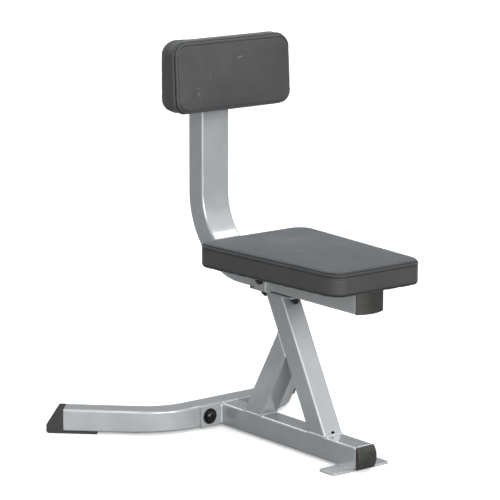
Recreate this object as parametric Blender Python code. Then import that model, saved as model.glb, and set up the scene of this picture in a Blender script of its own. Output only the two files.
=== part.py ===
"""Gym utility stool: a flat seat pad and an upright back pad on one bent rectangular tube,
bolted to a welded A-shaped leg frame with a swept-back bent stabiliser across its rear.

Metres, +Z up. The sitter faces -Y, and the sitter's left is +X. Lengths below are in millimetres
and are turned into metres as each mesh is made. Lengthways positions are measured along Y from a
datum near the middle of the legs, and one empty carries every piece so that the origin ends up on
the floor in the middle of the stool's box.
"""

import math

import bmesh
import bpy
from mathutils import Matrix, Vector

MM = 0.001
GAP = 0.3  # between pieces that touch

ORIGIN_Y = 59.01  # middle of the stool's box, lengthways

# Square tube of the leg frame and the stabiliser
TUBE = 50.8
WALL = 2.5
CORNER = 5.0

# Base tube on the floor plate
FOOT_PLATE_T = 5.2
FOOT_PLATE_HALF = 78.5
FOOT_PLATE_Y = (-258.5, -207.5)
BASE_Z0 = FOOT_PLATE_T + GAP
BASE_ZC = BASE_Z0 + TUBE / 2
BASE_Z1 = BASE_Z0 + TUBE
BASE_Y = (-266.6, 196.7)
BASE_CAP_FLANGE = 3.0
BASE_CAP_BULGE = 10.0

# Legs: centrelines from the base tube's top to the top plate
LEG_Z0 = BASE_Z1 + GAP
LEG_Z1 = 338.8
FRONT_LEG_Y = (-136.7, 12.2)
REAR_LEG_Y0 = 87.2
REAR_LEG_SLOPE = -0.581
DRAIN_R = 4.4
DRAIN_Z = 61.2

# Top plate and the U bracket on it
TOP_PLATE_Z = (339.1, 344.9)
TOP_PLATE_Y = (-49.0, 97.0)
SADDLE_Y = (21.5, 61.5)
SADDLE_T = 3.0
SADDLE_TOP = 398.2

# Seat beam and upright: one bent 76.2 x 50.8 tube
BEAM_W = 76.2
BEAM_H = 50.8
BEAM_ZC = 374.3
BEAM_Y0 = -276.0
BEND_Y = 120.2
BEND_R = 156.0
UPRIGHT_TOP = 856.0
BEAM_CAP_FLANGE = 2.7
BEAM_CAP_BULGE = 11.2

# Rear plate and stabiliser
REAR_PLATE_Y = (197.0, 203.4)
REAR_PLATE_HALF = 82.0
STAB_Y = REAR_PLATE_Y[1] + GAP + TUBE / 2
STAB_HALF_STRAIGHT = 95.9
STAB_BEND_R = 155.0
STAB_BEND = math.radians(44)
STAB_ARM = 165.3
STAB_BOLT_X = 59.0
STAB_BOLT_Z = 30.5

# Wedge feet
FOOT_TOP_REACH = 16.0
FOOT_REACH = 38.6
FOOT_SHOULDER_Z = 20.0
FOOT_TONGUE = 76.0
FOOT_TOE_R = 6.0

# Seat pad: narrower at the front, between the thighs
SEAT_REAR_HALF = 154.0
SEAT_FRONT_HALF = 121.5
SEAT_Y = (-313.9, 127.7)
SEAT_Z0 = BEAM_ZC + BEAM_H / 2 + 1.2  # clear of the start of the beam's bend
SEAT_R = 38.0
BOARD_T = 16.0

# Back pad: its front face leans back, so it is thicker at the bottom
BACK_HALF = 160.5
BACK_Z = (725.5, 883.0)
BACK_R = 30.5
BACK_Y0 = BEND_Y + BEND_R - BEAM_H / 2 - GAP  # rear face, just in front of the upright
BACK_LEAN = 0.063

# Fasteners
M10_R = 4.75
M10_HOLE = 5.5
M8_R = 3.8
M8_HOLE = 4.5
SEAT_BOLT_Y = (-32.6, 71.1)
CROSS_BOLT_Y = 41.4
SEAT_SCREW_Y = -221.2
BACK_SCREW_Z = (775.0, 834.0)
NUT_AF = 17.0
NUT_H = 11.4
ROUND = 18  # points round a fastener, a multiple of six

X, Y, Z = Vector((1, 0, 0)), Vector((0, 1, 0)), Vector((0, 0, 1))


def clear_scene():
    for obj in list(bpy.data.objects):
        bpy.data.objects.remove(obj, do_unlink=True)


def material(name, color, roughness, metallic=0.0):
    mat = bpy.data.materials.new(name)
    mat.use_nodes = True
    shader = mat.node_tree.nodes["Principled BSDF"]
    shader.inputs["Base Color"].default_value = (*color, 1.0)
    shader.inputs["Roughness"].default_value = roughness
    shader.inputs["Metallic"].default_value = metallic
    mat.diffuse_color = (*color, 1.0)
    return mat


clear_scene()
root = bpy.data.objects.new("stool", None)
root.location = (0, -ORIGIN_Y * MM, 0)
bpy.context.scene.collection.objects.link(root)

SILVER = material("silver_paint", (0.42, 0.44, 0.45), 0.38, 0.35)
BLACK_PLASTIC = material("black_plastic", (0.045, 0.043, 0.04), 0.5)
BLACK_RUBBER = material("black_rubber", (0.04, 0.04, 0.038), 0.62)
BLACK_STEEL = material("black_steel", (0.03, 0.03, 0.03), 0.35, 0.6)
ZINC = material("zinc_steel", (0.6, 0.6, 0.58), 0.3, 1.0)
VINYL = material("charcoal_vinyl", (0.1, 0.102, 0.105), 0.5)
FOAM = material("foam", (0.75, 0.72, 0.55), 0.9)
PLYWOOD = material("plywood", (0.55, 0.4, 0.24), 0.75)


# --- outlines in a plane, in millimetres ---------------------------------------------------


def rounded(corners, radii, steps):
    """A closed outline through these corners, each rounded to its radius in this many steps."""
    points = []
    count = len(corners)
    for i, corner in enumerate(corners):
        here = Vector(corner)
        before = (Vector(corners[i - 1]) - here).normalized()
        after = (Vector(corners[(i + 1) % count]) - here).normalized()
        r = radii[i] if hasattr(radii, "__len__") else radii
        if r <= 0:
            points.append(here)
            continue
        half = before.angle(after) / 2
        centre = here + (before + after).normalized() * (r / math.sin(half))
        first = here + before * (r / math.tan(half)) - centre
        last = here + after * (r / math.tan(half)) - centre
        sweep = first.angle(last)
        for k in range(steps + 1):
            t = k / steps
            points.append(
                centre
                + (first * math.sin((1 - t) * sweep) + last * math.sin(t * sweep)) / math.sin(sweep)
            )
    return points


def box_outline(width, height, r, steps=2):
    w, h = width / 2, height / 2
    return rounded([(w, -h), (w, h), (-w, h), (-w, -h)], r, steps)


def circle(r, count=ROUND, turn=0.0):
    return [
        Vector((r * math.cos(turn + 2 * math.pi * k / count), r * math.sin(turn + 2 * math.pi * k / count)))
        for k in range(count)
    ]


def hexagon(across_flats, most=None, count=ROUND):
    """A hexagon sampled at the angles of circle(), with flats facing +-Y, cut back to a radius."""
    points = []
    for k in range(count):
        angle = 2 * math.pi * k / count
        off_flat = (angle - math.pi / 2 + math.pi / 6) % (math.pi / 3) - math.pi / 6
        r = across_flats / 2 / math.cos(off_flat)
        r = min(r, most) if most else r
        points.append(Vector((r * math.cos(angle), r * math.sin(angle))))
    return points


# --- solids ----------------------------------------------------------------------------------


def skin(rings, ring_closed=False):
    """A bmesh through rings of equal count. Its ends are capped, or the last ring joins the first."""
    bm = bmesh.new()
    made = [[bm.verts.new(Vector(p) * MM) for p in ring] for ring in rings]
    pairs = list(zip(made, made[1:]))
    if ring_closed:
        pairs.append((made[-1], made[0]))
    else:
        bm.faces.new(made[0])
        bm.faces.new(made[-1])
    for a, b in pairs:
        for i in range(len(a)):
            j = (i + 1) % len(a)
            bm.faces.new((a[i], a[j], b[j], b[i]))
    return bm


def mesh_of(name, bm, mat, sharp=35):
    bmesh.ops.recalc_face_normals(bm, faces=bm.faces[:])
    mesh = bpy.data.meshes.new(name)
    bm.to_mesh(mesh)
    bm.free()
    mesh.shade_smooth()
    mesh.set_sharp_from_angle(angle=math.radians(sharp))
    mesh.materials.append(mat)
    return mesh


def place(name, mesh, location=(0, 0, 0), rotation=None):
    obj = bpy.data.objects.new(name, mesh)
    bpy.context.scene.collection.objects.link(obj)
    obj.parent = root
    obj.location = Vector(location) * MM
    if rotation is not None:
        obj.rotation_euler = rotation.to_euler()
    return obj


def piece(name, bm, mat, origin=(0, 0, 0), sharp=35):
    """An object whose mesh is given in the stool's own millimetres, with its origin moved to a point of it."""
    bmesh.ops.translate(bm, vec=-Vector(origin) * MM, verts=bm.verts[:])
    return place(name, mesh_of(name, bm, mat, sharp), origin)


def facing(axis, spin=0.0):
    """The rotation that points a fastener's local +Z along axis, after a turn about itself."""
    turn = Matrix.Rotation(spin, 3, "Z")
    return (Vector((0, 0, 1)).rotation_difference(Vector(axis)).to_matrix() @ turn).to_quaternion()


def to_plane(point, direction, on, normal):
    """Where a line along direction through point meets a plane."""
    return point + direction * ((on - point).dot(normal) / direction.dot(normal))


def tube(name, stations, outer, inner, mat, cut_start=None, cut_end=None):
    """A hollow tube through stations of (centre, across, up), with its ends square or cut to a plane."""
    def section(outline, k):
        centre, across, up = stations[k]
        along = across.cross(up)
        cut = cut_start if k == 0 else cut_end if k == len(stations) - 1 else None
        points = [centre + across * p.x + up * p.y for p in outline]
        return [to_plane(p, along, *cut) for p in points] if cut else points

    last = len(stations) - 1
    rings = [section(outer, k) for k in range(last + 1)] + [section(inner, k) for k in range(last, -1, -1)]
    middle = stations[len(stations) // 2][0]
    return piece(name, skin(rings, ring_closed=True), mat, middle)


def slab(name, outline, across, up, start, end, mat, origin, ease=0.0):
    """An outline in the plane of across and up, extruded along their normal from start to end."""
    normal = across.cross(up)
    bm = bmesh.new()
    face = bm.faces.new([bm.verts.new((across * p[0] + up * p[1] + normal * start) * MM) for p in outline])
    grown = bmesh.ops.extrude_face_region(bm, geom=[face])["geom"]
    moved = [v for v in grown if isinstance(v, bmesh.types.BMVert)]
    bmesh.ops.translate(bm, vec=normal * (end - start) * MM, verts=moved)
    if ease:
        ease_edges(bm, ease)
    return piece(name, bm, mat, origin)


def ease_edges(bm, width, steps=2, angle=50):
    """Rounds the outer edges sharper than an angle. Inner corners stay square, clear of what they fit."""
    bmesh.ops.recalc_face_normals(bm, faces=bm.faces[:])
    edges = [e for e in bm.edges if e.is_convex and e.calc_face_angle() > math.radians(angle)]
    bmesh.ops.bevel(bm, geom=edges, offset=width * MM, segments=steps, profile=0.5, affect="EDGES")


def helper(name, bm):
    """A cutter, or a shape joined to another object, that isn't a piece itself."""
    bmesh.ops.recalc_face_normals(bm, faces=bm.faces[:])
    mesh = bpy.data.meshes.new(name)
    bm.to_mesh(mesh)
    bm.free()
    obj = bpy.data.objects.new(name, mesh)
    bpy.context.scene.collection.objects.link(obj)
    obj.parent = root
    obj.hide_render = True
    obj.display_type = "WIRE"
    return obj


def combine(obj, other, operation):
    mod = obj.modifiers.new(other.name, "BOOLEAN")
    mod.operation = operation
    mod.object = other
    mod.solver = "EXACT"


def drill(obj, holes, count=12, tag="holes"):
    """Cuts round holes: (centre, axis, radius, length), each cylinder centred on its point. They don't cross."""
    bm = bmesh.new()
    for centre, axis, r, length in holes:
        place_at = Matrix.Translation(Vector(centre) * MM) @ facing(axis).to_matrix().to_4x4()
        bmesh.ops.create_cone(
            bm, cap_ends=True, segments=count, radius1=r * MM, radius2=r * MM, depth=length * MM, matrix=place_at
        )
    combine(obj, helper(obj.name + "." + tag, bm), "DIFFERENCE")


def cup(size_w, size_h, r, open_at, floor_at, closed_at, wall, frame):
    """A cap's insert: a cup in the tube's end, open at one end. frame maps (u, v, along) to a point."""
    out, inn = box_outline(size_w, size_h, r), box_outline(size_w - 2 * wall, size_h - 2 * wall, max(r - wall, 0.8))
    rings = [
        [frame(p.x, p.y, closed_at) for p in out],
        [frame(p.x, p.y, open_at) for p in out],
        [frame(p.x, p.y, open_at) for p in inn],
        [frame(p.x, p.y, floor_at) for p in inn],
    ]
    return skin(rings)


# --- leg frame -------------------------------------------------------------------------------

square_out = box_outline(TUBE, TUBE, CORNER)
square_in = box_outline(TUBE - 2 * WALL, TUBE - 2 * WALL, CORNER - WALL)

base_tube = tube(
    "base_tube",
    [(Vector((0, y, BASE_ZC)), X, Z) for y in BASE_Y],
    square_out,
    square_in,
    SILVER,
)

front_run = Vector((0, FRONT_LEG_Y[1] - FRONT_LEG_Y[0], LEG_Z1 - LEG_Z0)).normalized()
front_face = Vector((0, -front_run.z, front_run.y))  # outwards, square to the front leg's front face
front_foot = Vector((0, FRONT_LEG_Y[0], LEG_Z0))
front_head = Vector((0, FRONT_LEG_Y[1], LEG_Z1))
front_leg = tube(
    "front_leg",
    [(front_foot, X, front_run.cross(X)), (front_head, X, front_run.cross(X))],
    square_out,
    square_in,
    SILVER,
    cut_start=(front_foot, Z),
    cut_end=(front_head, Z),
)
drain_on_axis = front_foot + front_run * ((DRAIN_Z - LEG_Z0 - front_face.z * TUBE / 2) / front_run.z)
drill(front_leg, [(drain_on_axis + front_face * TUBE / 2, front_face, DRAIN_R, 12.0)])

rear_run = Vector((0, REAR_LEG_SLOPE, 1)).normalized()
rear_foot = Vector((0, REAR_LEG_Y0, LEG_Z0))
behind_front_leg = front_foot - front_face * (TUBE / 2 + GAP)
rear_head = to_plane(rear_foot, rear_run, behind_front_leg, front_face)
tube(
    "rear_leg",
    [(rear_foot, X, rear_run.cross(X)), (rear_head, X, rear_run.cross(X))],
    square_out,
    square_in,
    SILVER,
    cut_start=(rear_foot, Z),
    cut_end=(behind_front_leg, front_face),
)

half = TUBE / 2
top_plate = slab(
    "leg_top_plate",
    rounded(
        [(half, TOP_PLATE_Y[0]), (half, TOP_PLATE_Y[1]), (-half, TOP_PLATE_Y[1]), (-half, TOP_PLATE_Y[0])],
        [10.0, 3.0, 3.0, 10.0],
        5,
    ),
    X,
    Y,
    TOP_PLATE_Z[0],
    TOP_PLATE_Z[1],
    SILVER,
    (0, sum(TOP_PLATE_Y) / 2, TOP_PLATE_Z[0]),
)
drill(top_plate, [((0, y, sum(TOP_PLATE_Z) / 2), Z, M10_HOLE, 20) for y in SEAT_BOLT_Y])

saddle_in = BEAM_W / 2 + GAP
saddle_out = saddle_in + SADDLE_T
saddle_floor = TOP_PLATE_Z[1] + GAP
saddle_inside = BEAM_ZC - BEAM_H / 2 - GAP
saddle = slab(
    "saddle_bracket",
    rounded(
        [
            (saddle_out, saddle_floor),
            (saddle_out, SADDLE_TOP),
            (saddle_in, SADDLE_TOP),
            (saddle_in, saddle_inside),
            (-saddle_in, saddle_inside),
            (-saddle_in, SADDLE_TOP),
            (-saddle_out, SADDLE_TOP),
            (-saddle_out, saddle_floor),
        ],
        [5.5, 0, 0, 2.5, 2.5, 0, 0, 5.5],
        4,
    ),
    X,
    Z,
    -SADDLE_Y[1],
    -SADDLE_Y[0],
    SILVER,
    (0, sum(SADDLE_Y) / 2, saddle_floor),
)
drill(saddle, [((0, CROSS_BOLT_Y, BEAM_ZC), X, M10_HOLE, 120)])

slab(
    "front_foot_plate",
    rounded(
        [
            (FOOT_PLATE_HALF, FOOT_PLATE_Y[0]),
            (FOOT_PLATE_HALF, FOOT_PLATE_Y[1]),
            (-FOOT_PLATE_HALF, FOOT_PLATE_Y[1]),
            (-FOOT_PLATE_HALF, FOOT_PLATE_Y[0]),
        ],
        8.0,
        5,
    ),
    X,
    Y,
    0.0,
    FOOT_PLATE_T,
    SILVER,
    (0, sum(FOOT_PLATE_Y) / 2, 0),
)

rear_plate = slab(
    "rear_mount_plate",
    rounded(
        [
            (REAR_PLATE_HALF, BASE_Z0),
            (REAR_PLATE_HALF, BASE_Z1),
            (-REAR_PLATE_HALF, BASE_Z1),
            (-REAR_PLATE_HALF, BASE_Z0),
        ],
        3.0,
        4,
    ),
    X,
    Z,
    -REAR_PLATE_Y[1],
    -REAR_PLATE_Y[0],
    SILVER,
    (0, REAR_PLATE_Y[0], BASE_ZC),
)
drill(rear_plate, [((x, sum(REAR_PLATE_Y) / 2, STAB_BOLT_Z), Y, M10_HOLE, 20) for x in (-STAB_BOLT_X, STAB_BOLT_X)])

# --- stabiliser ------------------------------------------------------------------------------


def stabilizer_side(sign):
    """Stations from the tube's end towards the middle, on one side of the stool."""
    stations = []
    centre = Vector((sign * STAB_HALF_STRAIGHT, STAB_Y + STAB_BEND_R, BASE_ZC))
    steps = 6
    for k in range(steps + 1):
        angle = STAB_BEND * k / steps
        out = Vector((sign * math.sin(angle), -math.cos(angle), 0))
        along = Vector((sign * math.cos(angle), math.sin(angle), 0))
        stations.append((centre + out * STAB_BEND_R, out, along))
    end, out, along = stations[-1]
    stations.append((end + along * STAB_ARM, out, along))
    return stations


def stabilizer_stations():
    """Right end to left end; each section lies square to the tube's run."""
    right = [(c, -out, Z) for c, out, along in reversed(stabilizer_side(-1))]
    left = [(c, -out, Z) for c, out, along in stabilizer_side(1)]
    return right + left


rear_stabilizer = tube("rear_stabilizer", stabilizer_stations(), square_out, square_in, SILVER)
drill(rear_stabilizer, [((x, STAB_Y, STAB_BOLT_Z), Y, M10_HOLE, 90) for x in (-STAB_BOLT_X, STAB_BOLT_X)])


def wedge_foot(name, sign):
    """A wedge on the tube's end with a tongue under the tube and an insert inside it."""
    end, out, along = stabilizer_side(sign)[-1]
    base = Vector((end.x, end.y, 0))
    side = along.cross(Z)
    outline = rounded(
        [
            (GAP, BASE_Z1),
            (GAP, FOOT_PLATE_T),
            (-FOOT_TONGUE, FOOT_PLATE_T),
            (-FOOT_TONGUE, 0.0),
            (FOOT_REACH, 0.0),
            (FOOT_REACH, FOOT_SHOULDER_Z),
            (FOOT_TOP_REACH, BASE_Z1),
        ],
        [0, 0, 0, 0, FOOT_TOE_R, 6.0, 2.5],
        4,
    )
    bm = bmesh.new()
    half_width = TUBE / 2
    face = bm.faces.new([bm.verts.new((base + along * t + Z * z - side * half_width) * MM) for t, z in outline])
    grown = bmesh.ops.extrude_face_region(bm, geom=[face])["geom"]
    moved = [v for v in grown if isinstance(v, bmesh.types.BMVert)]
    bmesh.ops.translate(bm, vec=side * 2 * half_width * MM, verts=moved)
    ease_edges(bm, 1.4)
    foot = piece(name, bm, BLACK_RUBBER, base)
    inside = TUBE - 2 * WALL - 2 * GAP
    insert = helper(
        name + ".insert",
        cup(
            inside,
            inside,
            2.2,
            -22.0,
            -2.0,
            3.0,
            2.5,
            lambda u, v, t: base + along * t + side * u + Z * (v + BASE_ZC),
        ),
    )
    combine(foot, insert, "UNION")
    return foot


wedge_foot("stabilizer_foot_right", -1)
wedge_foot("stabilizer_foot_left", 1)

# --- seat beam and upright -------------------------------------------------------------------


def beam_stations():
    stations = [(Vector((0, BEAM_Y0, BEAM_ZC)), X, Z)]
    steps = 12
    for k in range(steps + 1):
        angle = math.pi / 2 * k / steps
        inwards = Vector((0, -math.sin(angle), math.cos(angle)))
        centre = Vector((0, BEND_Y, BEAM_ZC + BEND_R)) - inwards * BEND_R
        stations.append((centre, X, inwards))
    stations.append((Vector((0, BEND_Y + BEND_R, UPRIGHT_TOP)), X, -Y))
    return stations


frame_out = box_outline(BEAM_W, BEAM_H, CORNER)
frame_in = box_outline(BEAM_W - 2 * WALL, BEAM_H - 2 * WALL, CORNER - WALL)
seat_back_frame = tube("seat_back_frame", beam_stations(), frame_out, frame_in, SILVER)
drill(
    seat_back_frame,
    [((0, y, BEAM_ZC), Z, M10_HOLE, 80) for y in SEAT_BOLT_Y]
    + [((0, CROSS_BOLT_Y, BEAM_ZC), X, M10_HOLE, 110)]
    + [((0, SEAT_SCREW_Y, BEAM_ZC), Z, M8_HOLE, 80)]
    + [((0, BEND_Y + BEND_R, z), Y, M8_HOLE, 80) for z in BACK_SCREW_Z],
)


def arc(half_chord, rise, steps):
    """Points of a shallow arc from -half_chord to half_chord, standing rise proud at its middle."""
    r = (half_chord**2 + rise**2) / (2 * rise)
    reach = math.asin(half_chord / r)
    return [
        (r * math.sin(reach * (2 * k / steps - 1)), r * math.cos(reach * (2 * k / steps - 1)) - r + rise)
        for k in range(steps + 1)
    ]


# The base tube's cap is domed in side view, the seat beam's in plan.
cap_back = BASE_Y[0] - GAP
dome = [(cap_back - BASE_CAP_FLANGE - up, BASE_ZC + v) for v, up in arc(TUBE / 2, BASE_CAP_BULGE, 10)]
base_cap = slab(
    "base_end_cap",
    [(cap_back, BASE_Z0), *dome, (cap_back, BASE_Z1)],
    Y,
    Z,
    -TUBE / 2,
    TUBE / 2,
    BLACK_PLASTIC,
    (0, cap_back, BASE_ZC),
    ease=1.2,
)
inner = TUBE - 2 * WALL - 2 * GAP
combine(
    base_cap,
    helper(
        "base_end_cap.insert",
        cup(inner, inner, 2.2, 18.0, 1.0, -2.0, 2.5, lambda u, v, t: Vector((u, cap_back + t, BASE_ZC + v))),
    ),
    "UNION",
)

cap_back = BEAM_Y0 - GAP
dome = [(u, cap_back - BEAM_CAP_FLANGE - up) for u, up in arc(BEAM_W / 2, BEAM_CAP_BULGE, 14)]
beam_cap = slab(
    "seat_frame_end_cap",
    [(-BEAM_W / 2, cap_back), *dome, (BEAM_W / 2, cap_back)],
    X,
    Y,
    BEAM_ZC - BEAM_H / 2,
    BEAM_ZC + BEAM_H / 2,
    BLACK_PLASTIC,
    (0, cap_back, BEAM_ZC),
    ease=1.2,
)
inner_w, inner_h = BEAM_W - 2 * WALL - 2 * GAP, BEAM_H - 2 * WALL - 2 * GAP
beam_cap_back = cap_back
combine(
    beam_cap,
    helper(
        "seat_frame_end_cap.insert",
        cup(inner_w, inner_h, 2.2, 18.0, 1.0, -2.0, 2.5, lambda u, v, t: Vector((u, beam_cap_back + t, BEAM_ZC + v))),
    ),
    "UNION",
)

upright_y = BEND_Y + BEND_R
top_cap = piece(
    "upright_top_cap",
    skin(
        [
            [Vector((p.x, upright_y + p.y, z)) for p in box_outline(BEAM_W - 2 * inset, BEAM_H - 2 * inset, CORNER)]
            for inset, z in ((0, UPRIGHT_TOP + GAP), (0, UPRIGHT_TOP + 2.2), (1.5, UPRIGHT_TOP + 3.4))
        ]
    ),
    BLACK_PLASTIC,
    (0, upright_y, UPRIGHT_TOP),
)
combine(
    top_cap,
    helper(
        "upright_top_cap.insert",
        cup(
            inner_w, inner_h, 2.2, -18.0, -1.0, 1.5, 2.5,
            lambda u, v, t: Vector((u, upright_y - v, UPRIGHT_TOP + GAP + t)),
        ),
    ),
    "UNION",
)

# --- pads ------------------------------------------------------------------------------------
# A pad is laid up flat on its board: plan outlines drawn in by an inset, at a height over its underside.


def pad_ring(half_x, low_y, high_y, r, inset, height, frame):
    corners = [
        (half_x - inset, low_y + inset),
        (half_x - inset, high_y - inset),
        (-half_x + inset, high_y - inset),
        (-half_x + inset, low_y + inset),
    ]
    return [frame(p.x, p.y, height) for p in rounded(corners, max(r - 0.7 * inset, 6.0), 4)]


def inset_at(section, height):
    """How far in the cover's side lies at a height, between the points of its section."""
    for (i0, h0), (i1, h1) in zip(section, section[1:]):
        if h0 <= height <= h1:
            return i0 + (i1 - i0) * (height - h0) / (h1 - h0)
    return section[-1][0]


def pad(prefix, half_x, low_y, high_y, r, side, crown, frame):
    """Board, foam and cover. side is the cover's outer section up to its top edge, crown the section from there in."""

    def rings(section):
        return [pad_ring(half_x, low_y, high_y, r, inset, height, frame) for inset, height in section]

    skin_t = 1.2
    outer = [(side[0][0] + 17.0, 0.0)] + side + crown
    edge_in = [(i + 1.0, h + 1.0) for i, h in side[1:3]]
    inner_side = [(side[0][0] + 17.0, skin_t), (side[0][0] + 0.3, skin_t)] + edge_in
    inner_side += [(i + skin_t, h) for i, h in side[3:-2]]
    inner_side += [(i + 1.0, h - 0.9) for i, h in side[-2:]] + [(i + 0.4, h - skin_t) for i, h in crown]
    cover = piece(
        prefix + "_cover",
        skin(list(reversed(rings(outer))) + rings(inner_side)),
        VINYL,
        frame(0, (low_y + high_y) / 2, 0),
    )
    board = piece(
        prefix + "_board",
        skin(
            rings(
                [
                    (side[0][0] + 1.0, skin_t + GAP),
                    (side[1][0] + 2.7, skin_t + GAP + 2.6),
                    (side[1][0] + 2.7, skin_t + GAP + BOARD_T),
                ]
            )
        ),
        PLYWOOD,
        frame(0, (low_y + high_y) / 2, skin_t),
    )
    foam_low = skin_t + 2 * GAP + BOARD_T
    foam = [(inset_at(side, foam_low) + 1.8, foam_low)] + [(i + 1.6, h) for i, h in side[3:-2] if h > foam_low + 1]
    foam += [(i + 1.6, h - 1.4) for i, h in side[-2:]] + [(i + 0.7, h - 1.6) for i, h in crown]
    piece(prefix + "_foam", skin(rings(foam)), FOAM, frame(0, (low_y + high_y) / 2, foam_low))
    return cover, board


SEAT_SIDE = [(6.5, 0.0), (3.0, 1.4), (0.9, 4.0), (0.0, 9.0), (0.0, 45.0), (1.2, 49.4), (4.2, 52.0)]
SEAT_CROWN = [(12.0, 53.6), (32.0, 55.4), (70.0, 56.6)]
BACK_SIDE = [(21.0, 0.0), (10.5, 3.2), (3.2, 10.5), (0.0, 22.0), (0.0, 60.0), (1.8, 65.2), (5.2, 67.6)]
BACK_CROWN = [(14.0, 69.2), (30.0, 71.2), (56.0, 72.4)]
BACK_ZC = sum(BACK_Z) / 2


def on_seat(x, y, height):
    """A point of the seat pad, from the rear end's width narrowed towards the front."""
    forward = (SEAT_Y[1] - y) / (SEAT_Y[1] - SEAT_Y[0])
    return Vector((x * (1 - forward * (1 - SEAT_FRONT_HALF / SEAT_REAR_HALF)), y, SEAT_Z0 + height))


def on_back(x, z, height):
    """A point of the back pad. Above the board, its layers lean with the front face."""
    lean = BACK_LEAN * (BACK_ZC - z) * max(0.0, height - 18.0) / 50.0
    return Vector((x, BACK_Y0 - height - lean, z))


seat_cover, seat_board = pad("seat", SEAT_REAR_HALF, SEAT_Y[0], SEAT_Y[1], SEAT_R, SEAT_SIDE, SEAT_CROWN, on_seat)
back_cover, back_board = pad("back", BACK_HALF, BACK_Z[0], BACK_Z[1], BACK_R, BACK_SIDE, BACK_CROWN, on_back)

seat_board_top = SEAT_Z0 + 1.5 + BOARD_T
drill(
    seat_board,
    [((0, y, seat_board_top), Z, 13.6, 6.6) for y in SEAT_BOLT_Y] + [((0, SEAT_SCREW_Y, seat_board_top), Z, 11.6, 4.4)],
    tag="counterbores",
)
drill(
    seat_board,
    [((0, y, seat_board_top), Z, M10_HOLE, 60) for y in SEAT_BOLT_Y] + [((0, SEAT_SCREW_Y, seat_board_top), Z, 5.7, 60)],
)
back_board_front = BACK_Y0 - 1.5 - BOARD_T
drill(back_board, [((0, back_board_front, z), Y, 11.6, 4.4) for z in BACK_SCREW_Z], tag="counterbores")
drill(back_board, [((0, back_board_front, z), Y, 5.7, 60) for z in BACK_SCREW_Z])

# --- fasteners -------------------------------------------------------------------------------
# Each is turned about its own +Z: heads face +Z, shanks run down -Z from the underside of the head.


def level(outline, z):
    return [Vector((p.x, p.y, z)) for p in outline]


def button_bolt(name, shank_r, length, head_r, head_h, socket, mat=None):
    """Button head with a hexagon socket; z = 0 is the underside of the head."""
    rings = [level(circle(shank_r - 0.8), -length), level(circle(shank_r), -length + 0.8), level(circle(shank_r), 0.0)]
    rings += [level(circle(head_r), 0.0), level(circle(head_r), 0.22 * head_h)]
    for angle in (math.radians(28), math.radians(50)):
        rise = math.sin(angle) / math.sin(math.radians(60))
        rings.append(level(circle(head_r * math.cos(angle)), head_h * (0.22 + 0.78 * rise)))
    rings += [level(circle(socket * 0.62), head_h), level(hexagon(socket), head_h * 0.4)]
    return mesh_of(name, skin(rings), mat or BLACK_STEEL)


def flat_bolt(name, shank_r, length, head_r, head_h):
    """A wide flat head over a board."""
    rings = [level(circle(shank_r - 0.8), -length), level(circle(shank_r), -length + 0.8), level(circle(shank_r), 0.0)]
    rings += [level(circle(head_r), 0.0), level(circle(head_r - 0.6), head_h)]
    return mesh_of(name, skin(rings), BLACK_STEEL)


def washer(name, outer_r, bore_r, thickness, mat=None):
    rings = [
        level(circle(bore_r), 0.0),
        level(circle(outer_r), 0.0),
        level(circle(outer_r), thickness),
        level(circle(bore_r), thickness),
    ]
    return mesh_of(name, skin(rings, ring_closed=True), mat or BLACK_STEEL)


def lock_nut(name, across_flats, height, bore_r):
    """A hexagon nut with a round collar that holds its locking ring; z = 0 is the bearing face."""
    flat_r = across_flats / 2
    rings = [
        level(circle(bore_r), 0.0),
        level(hexagon(across_flats), 0.0),
        level(hexagon(across_flats), 0.62 * height),
        level(circle(flat_r - 0.15), 0.74 * height),
        level(circle(0.74 * flat_r), height),
        level(circle(bore_r), height),
    ]
    return mesh_of(name, skin(rings, ring_closed=True), BLACK_STEEL)


def tee_nut(name, flange_r, flange_t, barrel_r, bore_r, depth):
    """Flange up, barrel down; z = 0 is the underside of the flange."""
    rings = [
        level(circle(bore_r), -depth),
        level(circle(barrel_r), -depth),
        level(circle(barrel_r), 0.0),
        level(circle(flange_r), 0.0),
        level(circle(flange_r), flange_t),
        level(circle(bore_r), flange_t),
    ]
    return mesh_of(name, skin(rings, ring_closed=True), ZINC)


nut_bore = M10_R + 0.35
nut = lock_nut("lock_nut_m10", NUT_AF, NUT_H, nut_bore)

# Stabiliser: two button bolts with wide washers, from the front
plate_front = REAR_PLATE_Y[0]
stab_rear = STAB_Y + TUBE / 2
WIDE_T = 2.0
stab_bolt = button_bolt("stabilizer_bolt", M10_R, 76.5, 12.0, 6.8, 6.2)
wide_washer = washer("wide_washer", 18.0, 5.3, WIDE_T)
for side, sign in (("left", 1), ("right", -1)):
    x = sign * STAB_BOLT_X
    head_at = plate_front - 2 * GAP - WIDE_T
    place("stabilizer_bolt_" + side, stab_bolt, (x, head_at, STAB_BOLT_Z), facing(-Y))
    place("stabilizer_washer_front_" + side, wide_washer, (x, plate_front - GAP, STAB_BOLT_Z), facing(-Y))
    place("stabilizer_washer_rear_" + side, wide_washer, (x, stab_rear + GAP, STAB_BOLT_Z), facing(Y))
    place("stabilizer_nut_" + side, nut, (x, stab_rear + 2 * GAP + WIDE_T, STAB_BOLT_Z), facing(Y))

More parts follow.
